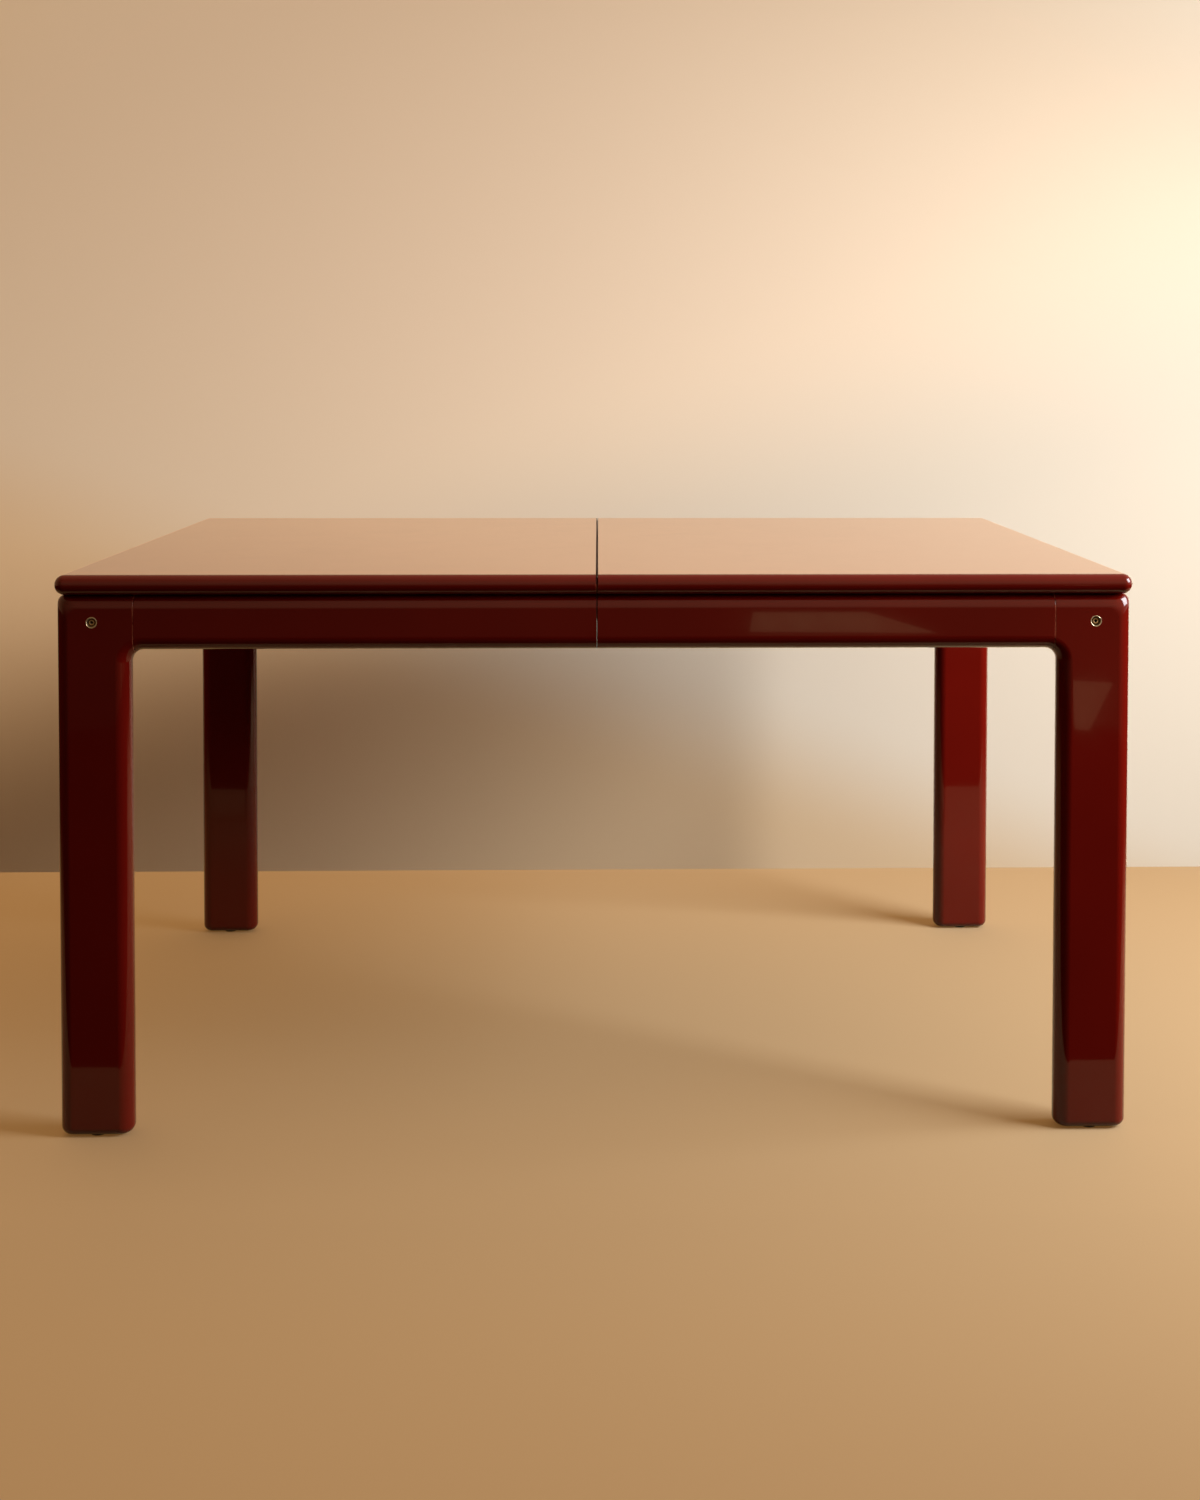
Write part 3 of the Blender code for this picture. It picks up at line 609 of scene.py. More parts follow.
def screws(name, node, places, turn, radius, finish="steel"):
    """Cross-recessed screws let into a piece, and the shape of the seats to cut for them."""
    arm = Vector([share * radius for share in SCREW_RECESS])
    head = boolean(
        "DIFFERENCE",
        ease(turned(screw_profile(radius)), SCREW_ARRIS * radius, 2),
        block(-arm, arm),
        block(-arm.yxz, arm.yxz),
    )
    extra(name, copies(head, places, turn), finish, node)
    seat = turned(screw_profile(radius + SCREW_SEAT_GAP, SCREW_SEAT_GAP))
    return copies(seat, places, turn)


def board(low, high, square_edges):
    """Board with a full bullnose. The edges named in square_edges, as directions in X and Y, are
    cut square instead, with an eased arris."""
    half = (high - low) / 2
    nosing = half.z - NOSING_FLAT / 2
    corner = nosing + CORNER_SOFTENING
    outline = []
    for turn, (sx, sy) in enumerate(CORNERS):
        x = half.x + (2 * corner if (sx, 0) in square_edges else 0) - corner
        y = half.y + (2 * corner if (0, sy) in square_edges else 0) - corner
        outline += arc((sx * x, sy * y), corner, 90 * turn, 90 * turn + 90)
    bm = plank(outline, 2 * half.z, nosing)
    for dx, dy in square_edges:
        keep_below(bm, (dx * half.x, dy * half.y, 0), (dx, dy, 0))
    return moved(ease(bm, SEAM_ARRIS), low + half)


def make_top(side_name, side):
    node = f"{side_name}_top"
    low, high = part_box(node)
    seam = high.x if side < 0 else low.x
    bm = board(low, high, [(-side, 0)])
    for end_name in ENDS:
        dowel = middle_of(f"{end_name}_top_dowel")
        dowel_low, dowel_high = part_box(f"{end_name}_top_dowel")
        hole = rod((dowel_high - dowel_low).z / 2 + CLEARANCE, 2 * DOWEL_HOLE_DEPTH[side_name])
        bm = boolean("DIFFERENCE", bm, moved(hole, (seam, dowel.y, dowel.z), ALONG_X))
    piece(node, mark_seam_painted_shade(bm, seam), "lacquer")


def make_seam_strip():
    """Thin strip on the seam face of the left board, which keeps dust and light out of the seam."""
    left_low, left_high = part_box("left_top")
    right_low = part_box("right_top")[0]
    top = left_high.z - STRIP_DROP
    bm = block(
        (left_high.x, left_low.y + STRIP_INSET, top - STRIP_HEIGHT),
        (right_low.x - STRIP_PLAY, left_high.y - STRIP_INSET, top),
    )
    holes = []
    for end_name in ENDS:
        low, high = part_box(f"{end_name}_top_dowel")
        hole = rod((high - low).z / 2 + CLEARANCE, high.x - low.x)
        holes.append(moved(hole, (low + high) / 2, ALONG_X))
    strip = boolean("DIFFERENCE", ease(bm, STRIP_ARRIS), *holes)
    extra("seam_strip", strip, "nylon", "left_top")


def frame_outline(leg, rail, side):
    """Leg and half rail in one front view, (x, z), with the rail running on past the seam and the
    leg past the floor. The leg and rail are boxes of the right side."""
    inner, outer = leg[1].x - LEG_WIDTH, leg[1].x
    bottom, top = rail[0].z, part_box("right_top")[0].z - TOP_GAP
    outline = [(inner, -LEG_WIDTH), (outer, -LEG_WIDTH), (outer, top)]
    outline += [(-LEG_WIDTH, top), (-LEG_WIDTH, bottom)]
    outline += arc((inner - FILLET_RADIUS, bottom - FILLET_RADIUS), FILLET_RADIUS, 90, 0)
    return [(side * x, z) for x, z in outline]


def round_corner(bm, x, y, radius):
    """Rounds the mitre in which two round-overs meet at a corner of a plank's outline."""

    def on_mitre(vert):
        dx, dy = abs(vert.co.x - x), abs(vert.co.y - y)
        return abs(dx - dy) < PLANE_TOLERANCE and dx < FRAME_ROUND + PLANE_TOLERANCE

    bevel(bm, [e for e in bm.edges if all(map(on_mitre, e.verts))], radius, ROUND_STEPS // 2)


def make_frame_side(side_name, side, end_name):
    """Long rail and leg: one outline with a full bullnose, cut apart at the hairline joint."""
    right = f"{end_name}_right"
    leg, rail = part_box(f"{right}_leg"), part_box(f"{right}_rail")
    thickness = leg[1].y - leg[0].y
    outline = frame_outline(leg, rail, side)
    leg_joint = leg[0].x
    rail_joint = leg_joint - JOINT_GAP
    seam = side * RAIL_SEAM_GAP / 2
    y = (leg[0].y + leg[1].y) / 2

    name = f"{end_name}_{side_name}"
    bm = plank(outline, thickness, FRAME_ROUND)
    keep_below(bm, (seam, 0, 0), (-side, 0, 0))
    keep_below(bm, (side * rail_joint, 0, 0), (side, 0, 0))
    moved(ease(bm, JOINT_ARRIS), (0, y, 0), UPRIGHT)
    piece(f"{name}_rail", mark_seam_painted_shade(bm, seam), "lacquer")

    bm = plank(outline, thickness, FRAME_ROUND)
    round_corner(bm, *outline[2], FRAME_CORNER)
    keep_below(bm, (side * leg_joint, 0, 0), (-side, 0, 0))
    foot = leg[0].z
    keep_below(bm, (0, foot, 0), (0, -1, 0))
    rim = [e for e in bm.edges if all(abs(v.co.y - foot) < PLANE_TOLERANCE for v in e.verts)]
    bevel(bm, rim, FOOT_ROUND, ROUND_STEPS // 2)
    moved(ease(bm, JOINT_ARRIS), (0, y, 0), UPRIGHT)
    low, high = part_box(f"{name}_bolt_ferrule")
    seat = rod((high - low).x / 2 + SCREW_SEAT_GAP, (high - low).y + 2 * CLEARANCE)
    bm = boolean("DIFFERENCE", bm, moved(seat, (low + high) / 2, UPRIGHT))
    piece(f"{name}_leg", bm, "lacquer")


def make_end_rail(side_name, side):
    """End rail with round edges, and the holes that the barrel nuts lie in."""
    node = f"{side_name}_end_rail"
    low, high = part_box(node)
    legs = [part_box(f"{end_name}_{side_name}_leg") for end_name in ENDS]
    low.y, high.y = legs[0][1].y + JOINT_GAP, legs[1][0].y - JOINT_GAP
    high.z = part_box(f"{side_name}_top")[0].z - TOP_GAP
    bm = block(low, high)
    long_edges = [e for e in bm.edges if e.verts[0].co.y != e.verts[1].co.y]
    bevel(bm, long_edges, END_RAIL_ROUND, ROUND_STEPS)
    holes = []
    for end_name in ENDS:
        nut_low, nut_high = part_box(f"{end_name}_{side_name}_barrel_nut")
        middle = (nut_low + nut_high) / 2
        inner_face = low.x if side > 0 else high.x
        depth = side * (middle.x - inner_face) + (nut_high - nut_low).x / 2 + CLEARANCE
        hole = rod((nut_high - nut_low).z / 2 + CLEARANCE, 2 * depth)
        holes.append(moved(hole, (inner_face, middle.y, middle.z), ALONG_X))
    piece(node, boolean("DIFFERENCE", bm, *holes), "lacquer")


def make_leg_fixing(name, side, end):
    """Ferrule, bolt and barrel nut. The turned pieces have their visible face at their own top,
    which looks out of the leg."""
    outward = Matrix.Rotation(-end * math.pi / 2, 4, "X")
    low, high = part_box(f"{name}_bolt_ferrule")
    face = (low + high) / 2
    face.y = high.y if end > 0 else low.y
    radius, depth = (high - low).x / 2, (high - low).y
    bore = radius - FERRULE_WALL
    floor = FERRULE_FLOOR - depth
    hole = BOLT_RADIUS + CLEARANCE
    ferrule = turned(
        [
            (bore, floor),
            (bore, -2 * FERRULE_CHAMFER),
            (bore + FERRULE_CHAMFER, 0),
            (radius, 0),
            (radius, -depth),
            (hole, -depth),
            (hole, floor),
        ]
    )
    piece(f"{name}_bolt_ferrule", moved(ease(ferrule, METAL_ARRIS), face, outward), "brass")

    low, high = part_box(f"{name}_leg_bolt")
    under_head = floor + CLEARANCE
    head_top = under_head + BOLT_HEAD_HEIGHT
    shank_end = head_top - (high - low).y
    bolt = turned(
        [
            (0, head_top),
            (BOLT_FACE_RADIUS, head_top),
            (BOLT_HEAD_RADIUS, head_top),
            (BOLT_HEAD_RADIUS, under_head),
            (BOLT_RADIUS, under_head),
            (BOLT_RADIUS, shank_end),
            (0, shank_end),
        ]
    )
    socket = moved(rod(HEX_ACROSS_FLATS / math.sqrt(3), 2 * HEX_DEPTH, 6), (0, 0, head_top))
    bolt = ease(boolean("DIFFERENCE", ease(bolt, 2 * METAL_ARRIS), socket), METAL_ARRIS / 2)
    # The socket, dirty and darkened as painted shade, and the rim and side of the head, darkened as
    # painted shade of the ferrule's recess, take the dark second material
    for bolt_face in bolt.faces:
        middle = bolt_face.calc_center_median()
        deep = head_top - 2 * HEX_DEPTH < middle.z < head_top - METAL_ARRIS
        in_socket = deep and middle.xy.length < HEX_ACROSS_FLATS / math.sqrt(3)
        if in_socket or middle.xy.length > BOLT_FACE_RADIUS:
            bolt_face.material_index = PAINTED_SHADE_SLOT
    piece(f"{name}_leg_bolt", moved(bolt, face, outward), "aged brass")

    low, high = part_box(f"{name}_barrel_nut")
    length = (high - low).x
    nut = ease(rod((high - low).z / 2, length), METAL_ARRIS)
    slot = Vector((NUT_SLOT_WIDTH / 2, length, NUT_SLOT_DEPTH))
    slot = moved(block(-slot, slot), (0, 0, -side * length / 2))
    bore = moved(rod(BOLT_RADIUS + CLEARANCE, length), (0, 0, 0), UPRIGHT)
    nut = boolean("DIFFERENCE", nut, slot, bore)
    piece(f"{name}_barrel_nut", moved(nut, (low + high) / 2, ALONG_X), "steel")


def make_glide(name):
    node = f"{name}_foot_glide"
    low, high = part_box(node)
    height = (high - low).z
    radius = (high - low).x / 2
    glide = turned(
        [
            (0, height),
            (GLIDE_NAIL_RADIUS, height),
            (GLIDE_NAIL_RADIUS, GLIDE_HEIGHT),
            (radius, GLIDE_HEIGHT),
            (radius, 0),
            (0, 0),
        ]
    )
    place = (low + high) / 2
    place.z = low.z
    piece(node, moved(ease(glide, GLIDE_ARRIS), place), "nylon")


def along(low, high, inset, count):
    """Evenly spaced places between two, the first and last set in from them."""
    step = (high - low - 2 * inset) / (count - 1)
    return [low + inset + i * step for i in range(count)]


def make_cleat(name, end):
    node = f"{name}_cleat"
    low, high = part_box(node)
    middle = (low + high) / 2
    up = [(x, middle.y, low.z) for x in along(low.x, high.x, CLEAT_TOP_SCREW_INSET, 2)]
    inner = low.y if end > 0 else high.y
    spots = along(low.x, high.x, CLEAT_RAIL_SCREW_INSET, 2)
    sideways = [(x, inner, middle.z) for x in spots]
    inward = Matrix.Rotation(end * math.pi / 2, 4, "X")
    bm = boolean(
        "DIFFERENCE",
        ease(cad_copy(node), WOOD_ARRIS),
        screws(f"{name}_cleat_top_screws", node, up, DOWNWARD, WOOD_SCREW),
        screws(f"{name}_cleat_rail_screws", node, sideways, inward, WOOD_SCREW),
    )
    piece(node, bm, "beech along X")


def make_runner(name, end):
    node = f"{name}_runner"
    low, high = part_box(node)
    y = high.y - RUNNER_WIDTH / 2 if end > 0 else low.y + RUNNER_WIDTH / 2
    places = [(x, y, low.z) for x in along(low.x, high.x, RUNNER_SCREW_INSET, 4)]
    bm = boolean(
        "DIFFERENCE",
        ease(cad_copy(node), WOOD_ARRIS),
        screws(f"{name}_runner_screws", node, places, DOWNWARD, WOOD_SCREW),
    )
    piece(node, bm, "beech along X")


def make_batten(side_name):
    """Cross batten, with two screws at each end up into the centre rails."""
    node = f"{side_name}_carriage_batten"
    low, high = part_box(node)
    places = []
    for end_name in ENDS:
        y = middle_of(f"{end_name}_centre_rail").y
        places += [(x, y, low.z) for x in along(low.x, high.x, BATTEN_SCREW_INSET, 2)]
    bm = boolean(
        "DIFFERENCE",
        ease(cad_copy(node), WOOD_ARRIS),
        screws(f"{side_name}_batten_screws", node, places, DOWNWARD, WOOD_SCREW),
    )
    piece(node, bm, "beech along Y")


def make_dowel(end_name):
    """Fluted dowel with tapered ends."""
    node = f"{end_name}_top_dowel"
    low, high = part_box(node)
    radius, length = (high - low).z / 2, (high - low).x
    outline = []
    for i in range(4 * DOWEL_FLUTES):
        angle = 2 * math.pi * i / (4 * DOWEL_FLUTES)
        reach = radius - (DOWEL_FLUTE_DEPTH if i % 4 == 0 else 0)
        outline.append((reach * math.cos(angle), reach * math.sin(angle)))
    bm = plank(outline, length - 2 * DOWEL_TAPER)
    for face in [f for f in bm.faces if abs(f.normal.z) > 0.9]:
        up = math.copysign(DOWEL_TAPER, face.normal.z)
        grown = bmesh.ops.extrude_discrete_faces(bm, faces=[face])["faces"]
        verts = grown[0].verts
        bmesh.ops.translate(bm, vec=(0, 0, up), verts=verts)
        bmesh.ops.scale(bm, vec=(DOWEL_END_SHARE, DOWEL_END_SHARE, 1), verts=verts)
    piece(node, moved(bm, (low + high) / 2, ALONG_X), "beech along X")


def make_leaf(fold_edge, fold):
    """Two panels folded with their undersides together, let in for the hinges at the fold."""
    for name in ("upper", "lower"):
        node = f"{name}_leaf_panel"
        low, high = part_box(node)
        bm = board(low, high, [(1, 0), (-1, 0), (0, 1)])
        recesses = []
        for side_name in SIDES:
            hinge_low, hinge_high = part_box(f"{side_name}_leaf_hinge_{name}_plate")
            hinge_low.y, hinge_high.y = fold_edge - HINGE_PLATE, fold_edge + HINGE_PLATE
            grow = Vector((CLEARANCE,) * 3)
            recesses.append(block(hinge_low - grow, hinge_high + grow))
            length = hinge_high.x - hinge_low.x + 2 * CLEARANCE
            cove = rod(HINGE_KNUCKLE_RADIUS + CLEARANCE, length)
            x = (hinge_low.x + hinge_high.x) / 2
            recesses.append(moved(cove, (x, fold_edge, fold), ALONG_X))
        piece(node, boolean("DIFFERENCE", bm, *recesses), "lacquer")


def make_leaf_hinge(side_name, fold_edge, fold):
    """Butt hinge. The upper plate carries the middle knuckle, the lower plate the outer two."""
    pin_node = f"{side_name}_leaf_hinge_pin"
    low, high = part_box(pin_node)
    pin_radius, length = (high - low).z / 2, (high - low).x
    axis = Vector(((low.x + high.x) / 2, fold_edge, fold))
    third = length / 3
    knuckles = {"upper": [0], "lower": [-third, third]}
    other = {"upper": "lower", "lower": "upper"}
    outward = Matrix.Rotation(-math.pi / 2, 4, "X")
    for name, up in (("upper", 1), ("lower", -1)):
        node = f"{side_name}_leaf_hinge_{name}_plate"
        low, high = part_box(node)
        edge = high.z if up > 0 else low.z
        near = fold + up * CLEARANCE / 2
        plate = block(
            (low.x, fold_edge - HINGE_PLATE, min(edge, near)), (high.x, fold_edge, max(edge, near))
        )
        spots = along(low.x, high.x, HINGE_SCREW_INSET, 3)
        places = [(x, fold_edge, fold + up * HINGE_SCREW_RISE) for x in spots]
        seats = screws(f"{node}_screws", node, places, outward, HINGE_SCREW, "brass")
        room = rod(HINGE_KNUCKLE_RADIUS + CLEARANCE, third + CLEARANCE)
        rooms = copies(room, [axis + Vector((x, 0, 0)) for x in knuckles[other[name]]], ALONG_X)
        plate = boolean("DIFFERENCE", ease(plate, METAL_ARRIS), rooms, seats)
        barrel = ease(rod(HINGE_KNUCKLE_RADIUS, third - CLEARANCE), METAL_ARRIS)
        barrels = copies(barrel, [axis + Vector((x, 0, 0)) for x in knuckles[name]], ALONG_X)
        bore = moved(rod(pin_radius + CLEARANCE / 2, 2 * length), axis, ALONG_X)
        plate = boolean("DIFFERENCE", boolean("UNION", plate, barrels), bore)
        piece(node, plate, "brass")
    pin = ease(rod(pin_radius, length), METAL_ARRIS)
    piece(pin_node, moved(pin, axis, ALONG_X), "steel")


def lock_plate(node, hole_radius, hole):
    """Plate with round corners and four screws, and a hole if it has a radius."""
    low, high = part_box(node)
    low.z = high.z - LOCK_PLATE
    bm = block(low, high)
    uprights = [e for e in bm.edges if e.verts[0].co.z != e.verts[1].co.z]
    bevel(bm, uprights, LOCK_CORNER, LOCK_CORNER_STEPS)
    places = [
        (x, y, low.z)
        for x in along(low.x, high.x, LOCK_SCREW_INSET, 2)
        for y in along(low.y, high.y, LOCK_SCREW_INSET, 2)
    ]
    seats = screws(f"{node}_screws", node, places, DOWNWARD, PLATE_SCREW)
    bm = boolean("DIFFERENCE", ease(bm, METAL_ARRIS), seats)
    if hole_radius:
        bm = boolean("DIFFERENCE", bm, moved(rod(hole_radius, 4 * LOCK_PLATE), hole))
    return bm


def make_lock(end_name, end):
    """Swing lock across the seam: plate, rivet and lever on the left half, keeper with its stud on
    the right half. At rest the lever points to the middle of the table."""
    pivot_low, pivot_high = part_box(f"{end_name}_lock_pivot")
    pivot = (pivot_low + pivot_high) / 2
    node = f"{end_name}_lock_plate"
    piece(node, lock_plate(node, PIVOT_RADIUS + CLEARANCE, pivot), "steel")

    lever_node = f"{end_name}_lock_lever"
    low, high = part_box(lever_node)
    head_top = low.z - CLEARANCE
    head_radius = (pivot_high - pivot_low).x / 2

    def riveted(shank, length):
        """Shank that stands on z = 0, with a domed head below it."""
        head = head_top - pivot_low.z
        dome = [(across * head_radius, -down * head) for across, down in RIVET_DOME]
        return ease(turned([(0, length), (shank, length), (shank, 0), *dome]), METAL_ARRIS)

    shape = riveted(PIVOT_RADIUS, pivot_high.z - head_top)
    piece(f"{end_name}_lock_pivot", moved(shape, (pivot.x, pivot.y, head_top)), "steel")

    keeper_node = f"{end_name}_lock_keeper"
    keeper_low, keeper_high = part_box(keeper_node)
    stud_place = (keeper_low + keeper_high) / 2
    stud_place.z = head_top
    stud = moved(riveted(STUD_RADIUS, keeper_high.z - LOCK_PLATE / 2 - head_top), stud_place)
    keeper = boolean("UNION", lock_plate(keeper_node, 0, None), stud)
    piece(keeper_node, keeper, "steel")

    # The lever is drawn engaged, pointing at +X from its pivot, and then turned to its rest
    reach = stud_place.x - pivot.x
    half = LEVER_WIDTH / 2
    tip = (high - low).y - LEVER_TAIL
    outline = arc((tip - half, 0), half, -90, 90) + arc((half - LEVER_TAIL, 0), half, 90, 270)
    thickness = high.z - low.z
    lever = ease(plank(outline, thickness), LEVER_ARRIS)
    seat = STUD_RADIUS + LOCK_PLAY
    mouth = block((reach - seat, 0, -thickness), (reach + seat, LEVER_WIDTH, thickness))
    lever = boolean(
        "DIFFERENCE",
        lever,
        rod(PIVOT_RADIUS + CLEARANCE, 2 * thickness),
        moved(rod(seat, 2 * thickness), (reach, 0, 0)),
        moved(mouth, (0, 0, 0), Matrix.Diagonal((1, end, 1, 1))),
    )
    at = Vector((pivot.x, pivot.y, (low.z + high.z) / 2))
    lever = moved(lever, at, Matrix.Rotation(-end * math.pi / 2, 4, "Z"))
    piece(lever_node, lever, "steel")


def make_table():
    upper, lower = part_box("upper_leaf_panel"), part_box("lower_leaf_panel")
    fold_edge = upper[1].y
    fold = (upper[0].z + lower[1].z) / 2
    make_leaf(fold_edge, fold)
    for side_name, side in SIDES.items():
        make_top(side_name, side)
        make_end_rail(side_name, side)
        make_batten(side_name)
        make_leaf_hinge(side_name, fold_edge, fold)
        for end_name, end in ENDS.items():
            name = f"{end_name}_{side_name}"
            make_frame_side(side_name, side, end_name)
            make_leg_fixing(name, side, end)
            make_glide(name)
            make_cleat(name, end)
            make_runner(name, end)
    make_seam_strip()
    for end_name, end in ENDS.items():
        node = f"{end_name}_centre_rail"
        piece(node, ease(cad_copy(node), WOOD_ARRIS), "beech along X")
        make_dowel(end_name)
        make_lock(end_name, end)


# Stage, light and camera

# Camera, from the photograph's own perspective: metres, radians, and shares of the picture's height
CAMERA_PLACE = (0.0010, -2.7718, 0.9991)
CAMERA_PITCH = 0.0312
CAMERA_ROLL = -0.0015
CAMERA_YAW = 0.0230
LENS_MM = 43.36
SHIFT = (-0.0263, -0.2171)

FLOOR_RADIUS = 3.2
FLOOR_FADE = (1.28, 2.5)

# Wall, with the directions in which its glow comes up and its warm, darker low part, a painted
# shade, ends, and where along them that starts and is complete
WALL_PLACE = 0.80
WALL_SIZE = (2.6, 2.8)
WALL_FADE = (1.9, 2.6)
WALL_GLOW = ((-0.35, 0, 1), 0.45, 0.97)
WALL_PAINTED_SHADE = ((0.35, 0, 1), 0.2, 0.5)

# Room on the camera's side: the heights between which it turns pale, and how far across its ends open
ROOM_RADIUS = 3.4
ROOM_DEPTH, ROOM_HEIGHT = 4.0, 6.0
ROOM_HALF_ANGLE = math.radians(85)
ROOM_RISE = (0.3, 1.4)
ROOM_ENDS = (0.75 * ROOM_RADIUS, 0.99 * ROOM_RADIUS)

WINDOW_PLACE = (2.7, -0.8, 1.65)
WINDOW_SIZE = (1.5, 1.3)
WINDOW_WATTS = 42.5
WINDOW_SPREAD = math.radians(95)
WINDOW_AIM = (0.2, 0.4, 0.05)

# Dark flags: where the one on the floor in front of the table starts, and the radius, lowest and
# highest point of the one round the room
FLAG_START = -0.68
FLAG_LIFT = 0.001
FLAG_RADIUS = 3.6
FLAG_HEIGHTS = (-4.0, 0.35)

# Sunlit patches on the room's wall that the front of the lacquer mirrors, in X and Z
PATCH_RADIUS = 0.98 * ROOM_RADIUS
PATCHES = (
    ((0.439, 0.222), (0.962, 0.232), (0.772, 0.321), (0.449, 0.313)),
    ((1.300, 0.137), (1.318, -0.072), (1.424, 0.137)),
)


def stage_object(name, bm, material):
    mesh = bpy.data.meshes.new(name)
    bm.to_mesh(mesh)
    bm.free()
    mesh.materials.append(material)
    obj = bpy.data.objects.new(name, mesh)
    bpy.context.scene.collection.objects.link(obj)
    return obj


def seen_rays(tree):
    """1 for rays of the camera, of mirrors and of glass, 0 for those that only carry light."""
    rays = add(tree, "LightPath").outputs
    direct = add(
        tree, "Math", {0: rays["Is Camera Ray"], 1: rays["Is Glossy Ray"]}, operation="MAXIMUM"
    )
    return add(tree, "Math", {0: direct, 1: rays["Is Transmission Ray"]}, operation="MAXIMUM")


def make_world():
    """Pale warm backdrop, dimmer at the left and overhead, and soft light from overhead."""
    world = bpy.data.worlds.new("studio")
    world.use_nodes = True
    tree = world.node_tree
    direction = add(tree, "TexCoord").outputs["Generated"]
    x, y, z = add(tree, "SeparateXYZ", {"Vector": direction}).outputs
    across = add(tree, "MapRange", {"Value": x, "From Min": -0.4, "From Max": 0.34})
    wall = add(tree, "Mix", {0: across, MIX_A: linear("#BE9669"), MIX_B: linear("#FFF0DA")}, **RGBA)
    height = add(
        tree, "MapRange", {"Value": z, "From Min": 0.2, "From Max": 0.9, "To Max": 0.55}, **SMOOTH
    )
    backdrop = add(tree, "Mix", {0: height, MIX_A: wall, MIX_B: linear("#B89268")}, **RGBA)
    behind = add(tree, "MapRange", {"Value": y, "From Min": -0.1, "From Max": 0.6}, **SMOOTH)
    horizon = add(tree, "Mix", {0: behind, MIX_A: linear("#513B27"), MIX_B: linear("#C8A682")}, **RGBA)
    overhead = add(tree, "MapRange", {"Value": z, "From Min": 0.0, "From Max": 0.8}, **SMOOTH)
    light = add(tree, "Mix", {0: overhead, MIX_A: horizon, MIX_B: linear("#F0C698")}, **RGBA)
    colour = add(tree, "Mix", {0: seen_rays(tree), MIX_A: light, MIX_B: backdrop}, **RGBA)
    feed(tree.nodes["Background"], {"Color": colour})
    bpy.context.scene.world = world


def fading(name, fade):
    """New matt material that fades out between two distances from the origin and is open from
    behind, with its node tree and its shader."""
    material, tree, shader = blank(name)
    geometry = add(tree, "NewGeometry").outputs
    distance = add(tree, "VectorMath", {0: geometry["Position"]}, operation="LENGTH")
    faded = add(
        tree, "MapRange", {"Value": distance, "From Min": fade[0], "From Max": fade[1]}, **SMOOTH
    )
    open_part = add(tree, "Math", {0: faded, 1: geometry["Backfacing"]}, operation="MAXIMUM")
    clear = add(tree, "BsdfTransparent")
    mixed = add(tree, "MixShader", {0: open_part, 1: shader, 2: clear})
    feed(tree.nodes["Material Output"], {"Surface": mixed})
    feed(shader, {"Roughness": 0.9, "Specular IOR Level": 0.1})
    return material, tree, shader


def make_floor():
    """Plain pale floor with a faint glow, which throws light on the table as if it were darker."""
    material, tree, shader = fading("pale floor", FLOOR_FADE)
    rays = seen_rays(tree)
    colour = add(tree, "Mix", {0: rays, MIX_A: linear("#4A3C2E"), MIX_B: linear("#AA9473")}, **RGBA)
    feed(shader, {"Base Color": colour})
    feed(shader, {"Emission Color": linear("#5E3F1D"), "Emission Strength": rays})
    bm = bmesh.new()
    bmesh.ops.create_circle(bm, cap_ends=True, radius=FLOOR_RADIUS, segments=96)
    stage_object("floor", bm, material)


def make_wall():
    """Plain pale wall close behind the table, which glows a little towards its upper left. Its paint is
    warmer and a little darker at its lower left, a painted warm shade under the table, and warmer
    in the gloss of the table, a painted reflection. It takes the table's shadow and keeps no
    light off the table, so that the back is lit as the front is."""
    material, tree, shader = fading("pale wall", WALL_FADE)
    position = add(tree, "NewGeometry").outputs["Position"]
    risen = []
    for direction, start, end in (WALL_GLOW, WALL_PAINTED_SHADE):
        up = add(tree, "VectorMath", {0: position, 1: direction}, operation="DOT_PRODUCT")
        risen.append(
            add(tree, "MapRange", {"Value": up, "From Min": start, "From Max": end}, **SMOOTH)
        )
    glow, above = risen
    # Warmer, darker paint low at the left is painted shade under the table; the warmer colour for
    # mirror rays is a painted reflection
    wall_paint_and_painted_shade = add(tree, "Mix", {0: above, MIX_A: linear("#E8C9A0"), MIX_B: linear("#F0E2CC")}, **RGBA)
    mirrored = add(tree, "LightPath").outputs["Is Glossy Ray"]
    colour = add(tree, "Mix", {0: mirrored, MIX_A: wall_paint_and_painted_shade, MIX_B: linear("#FFDEBA")}, **RGBA)
    strength = add(tree, "Math", {0: seen_rays(tree), 1: glow}, operation="MULTIPLY")
    feed(shader, {"Base Color": colour})
    feed(shader, {"Emission Color": linear("#886B4C"), "Emission Strength": strength})
    bm = bmesh.new()
    bmesh.ops.create_grid(bm, x_segments=1, y_segments=1, size=1)
    bmesh.ops.scale(bm, vec=(*WALL_SIZE, 1), verts=bm.verts)
    wall = stage_object("wall", moved(bm, (0, WALL_PLACE, 0), UPRIGHT), material)
    wall.visible_diffuse = False
    wall.visible_shadow = False


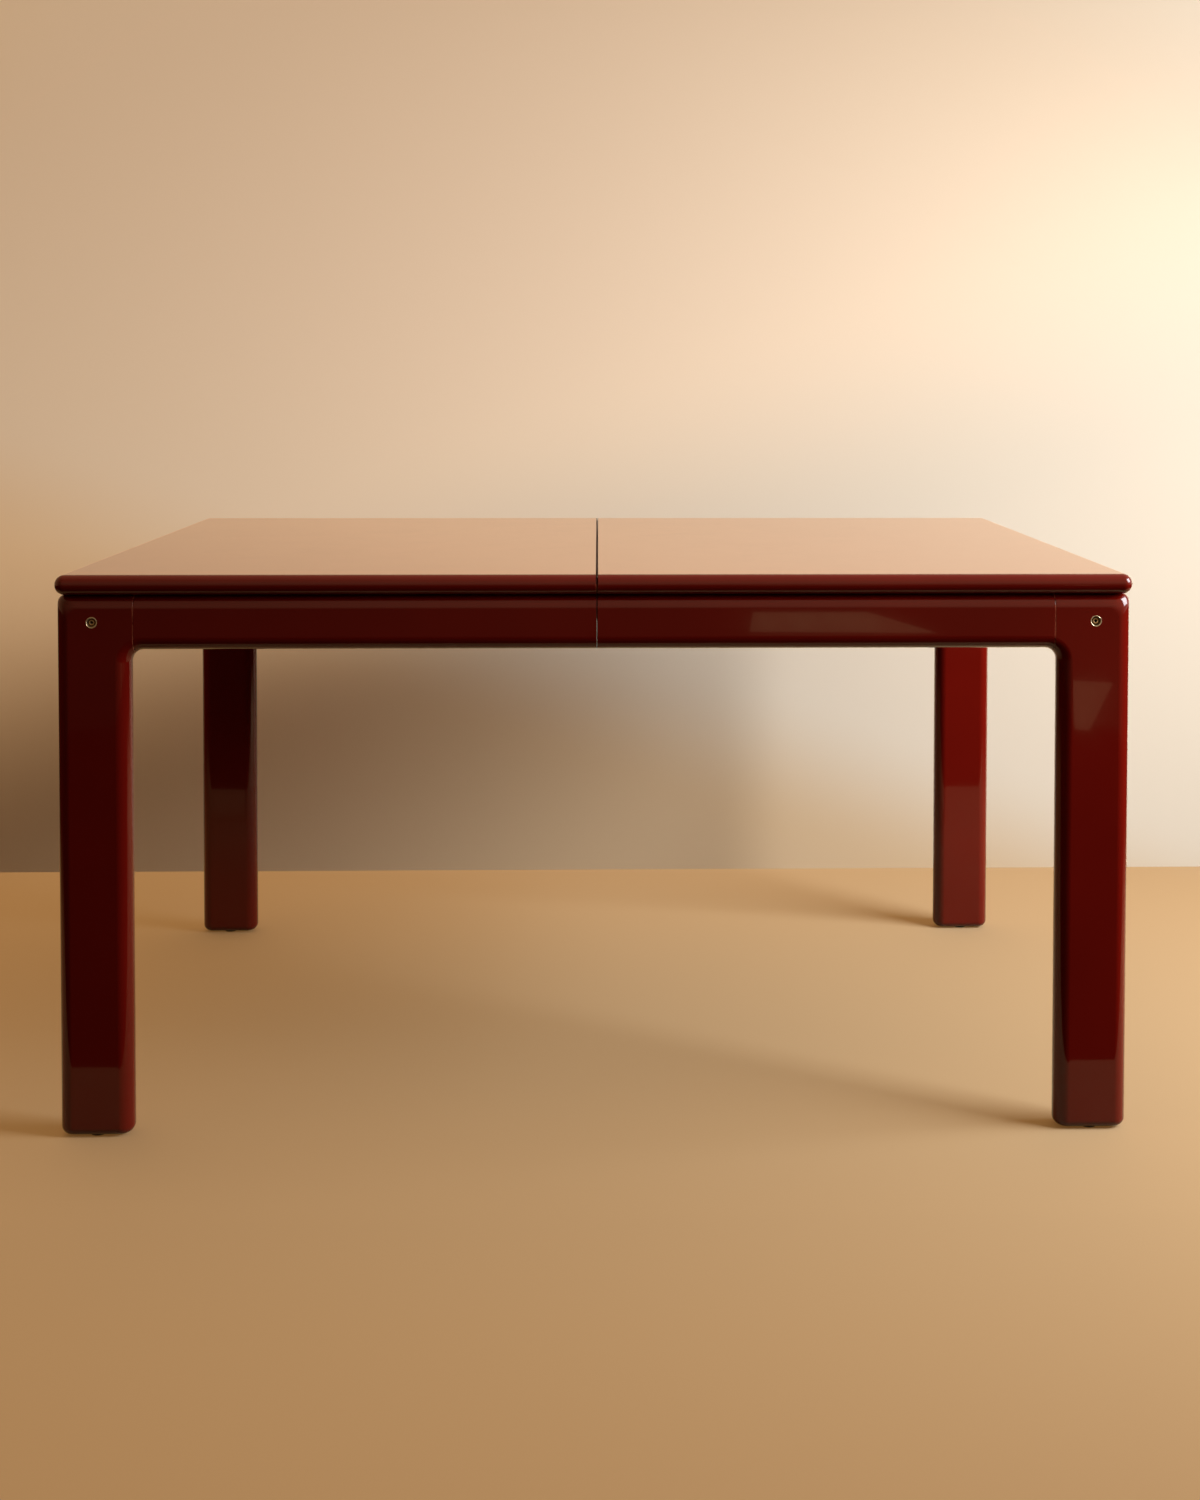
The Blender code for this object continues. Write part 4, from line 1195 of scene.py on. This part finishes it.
def make_room():
    """The room on the camera's side, which the front of the lacquer mirrors: a glowing surround of
    painted light, dark near the floor as painted shade, pale and warm above, brighter towards the
    window, and open at its ends. It glows fully for mirrors and at a fifth for the light it throws.
    The camera itself doesn't see it, so that the backdrop stays pale from every side."""
    material, tree, _ = blank("glowing room")
    place = add(tree, "TexCoord").outputs["Object"]
    x, _, z = add(tree, "SeparateXYZ", {"Vector": place}).outputs
    across = add(tree, "MapRange", {"Value": x, "From Min": -ROOM_RADIUS, "From Max": ROOM_RADIUS})
    shade = add(tree, "Mix", {0: across, MIX_A: linear("#140A05"), MIX_B: linear("#80684C")}, **RGBA)
    wall = add(tree, "Mix", {0: across, MIX_A: linear("#7A5028"), MIX_B: linear("#FFE2B8")}, **RGBA)
    low, high = ROOM_RISE
    above = add(tree, "MapRange", {"Value": z, "From Min": low, "From Max": high}, **SMOOTH)
    colour = add(tree, "Mix", {0: above, MIX_A: shade, MIX_B: wall}, **RGBA)
    strength = add(tree, "MapRange", {"Value": seen_rays(tree), "To Min": 0.2})
    glow = add(tree, "Emission", {"Color": colour, "Strength": strength})
    aside = add(tree, "Math", {0: x}, operation="ABSOLUTE")
    start, end = ROOM_ENDS
    ending = add(tree, "MapRange", {"Value": aside, "From Min": start, "From Max": end}, **SMOOTH)
    clear = add(tree, "BsdfTransparent")
    mixed = add(tree, "MixShader", {0: ending, 1: glow, 2: clear})
    feed(tree.nodes["Material Output"], {"Surface": mixed})
    bm = bmesh.new()
    corner = Matrix.Rotation(-ROOM_HALF_ANGLE, 4, "Z") @ Vector((0, -ROOM_RADIUS, 0))
    foot = bm.verts.new(corner - Vector((0, 0, ROOM_DEPTH)))
    head = bm.verts.new(corner + Vector((0, 0, ROOM_HEIGHT)))
    edge = bm.edges.new((foot, head))
    bmesh.ops.spin(
        bm, geom=[foot, head, edge], axis=(0, 0, 1), angle=2 * ROOM_HALF_ANGLE, steps=48
    )
    room = stage_object("room", bm, material)
    room.visible_camera = False


def mirrored_only(name, bm, colour, strength):
    """Stage object that shows in the gloss of the table and nowhere else."""
    material, tree, _ = blank(name)
    glow = add(tree, "Emission", {"Color": linear(colour), "Strength": strength})
    feed(tree.nodes["Material Output"], {"Surface": glow})
    obj = stage_object(name, bm, material)
    obj.visible_camera = False
    obj.visible_diffuse = False
    obj.visible_shadow = False


def make_patches():
    """Sunlit patches on the room's wall, seen as faint shapes in the gloss of the front."""
    bm = bmesh.new()
    for outline in PATCHES:
        places = [(x, -math.sqrt(PATCH_RADIUS**2 - x**2), z) for x, z in outline]
        bm.faces.new([bm.verts.new(place) for place in places])
    mirrored_only("sunlit_patches", bm, "#FFCB92", 1.3)


def make_flags():
    """Dark flags on the floor in front and low round the room, which keep the pale floor and
    backdrop out of the gloss of the legs."""
    bm = bmesh.new()
    edge = bm.edges.new([bm.verts.new((FLAG_RADIUS, 0, z)) for z in FLAG_HEIGHTS])
    bmesh.ops.spin(
        bm, geom=[*edge.verts, edge], axis=(0, 0, 1), angle=2 * math.pi, steps=96, use_merge=True
    )
    front = bmesh.ops.create_grid(bm, x_segments=1, y_segments=1, size=FLAG_RADIUS)["verts"]
    bmesh.ops.translate(bm, vec=(0, FLAG_START - FLAG_RADIUS, FLAG_LIFT), verts=front)
    mirrored_only("dark_flags", bm, "#24170D", 1.0)


def make_window():
    """Soft window light from the right and a little from the front."""
    lamp = bpy.data.lights.new("window", "AREA")
    lamp.shape = "RECTANGLE"
    lamp.size, lamp.size_y = WINDOW_SIZE
    lamp.energy = WINDOW_WATTS
    lamp.spread = WINDOW_SPREAD
    lamp.color = linear("#F6FAFF")[:3]
    window = bpy.data.objects.new("window", lamp)
    window.location = WINDOW_PLACE
    aim = Vector(WINDOW_AIM) - Vector(WINDOW_PLACE)
    window.rotation_euler = aim.to_track_quat("-Z", "Y").to_euler()
    bpy.context.scene.collection.objects.link(window)


def make_camera():
    lens = bpy.data.cameras.new("camera")
    lens.lens = LENS_MM
    lens.shift_x, lens.shift_y = SHIFT
    camera = bpy.data.objects.new("camera", lens)
    camera.location = CAMERA_PLACE
    camera.rotation_euler = (math.pi / 2 - CAMERA_PITCH, CAMERA_ROLL, -CAMERA_YAW)
    bpy.context.scene.collection.objects.link(camera)
    bpy.context.scene.camera = camera


make_table()
make_world()
make_floor()
make_wall()
make_room()
make_patches()
make_flags()
make_window()
make_camera()
bpy.context.scene.view_settings.view_transform = "Standard"
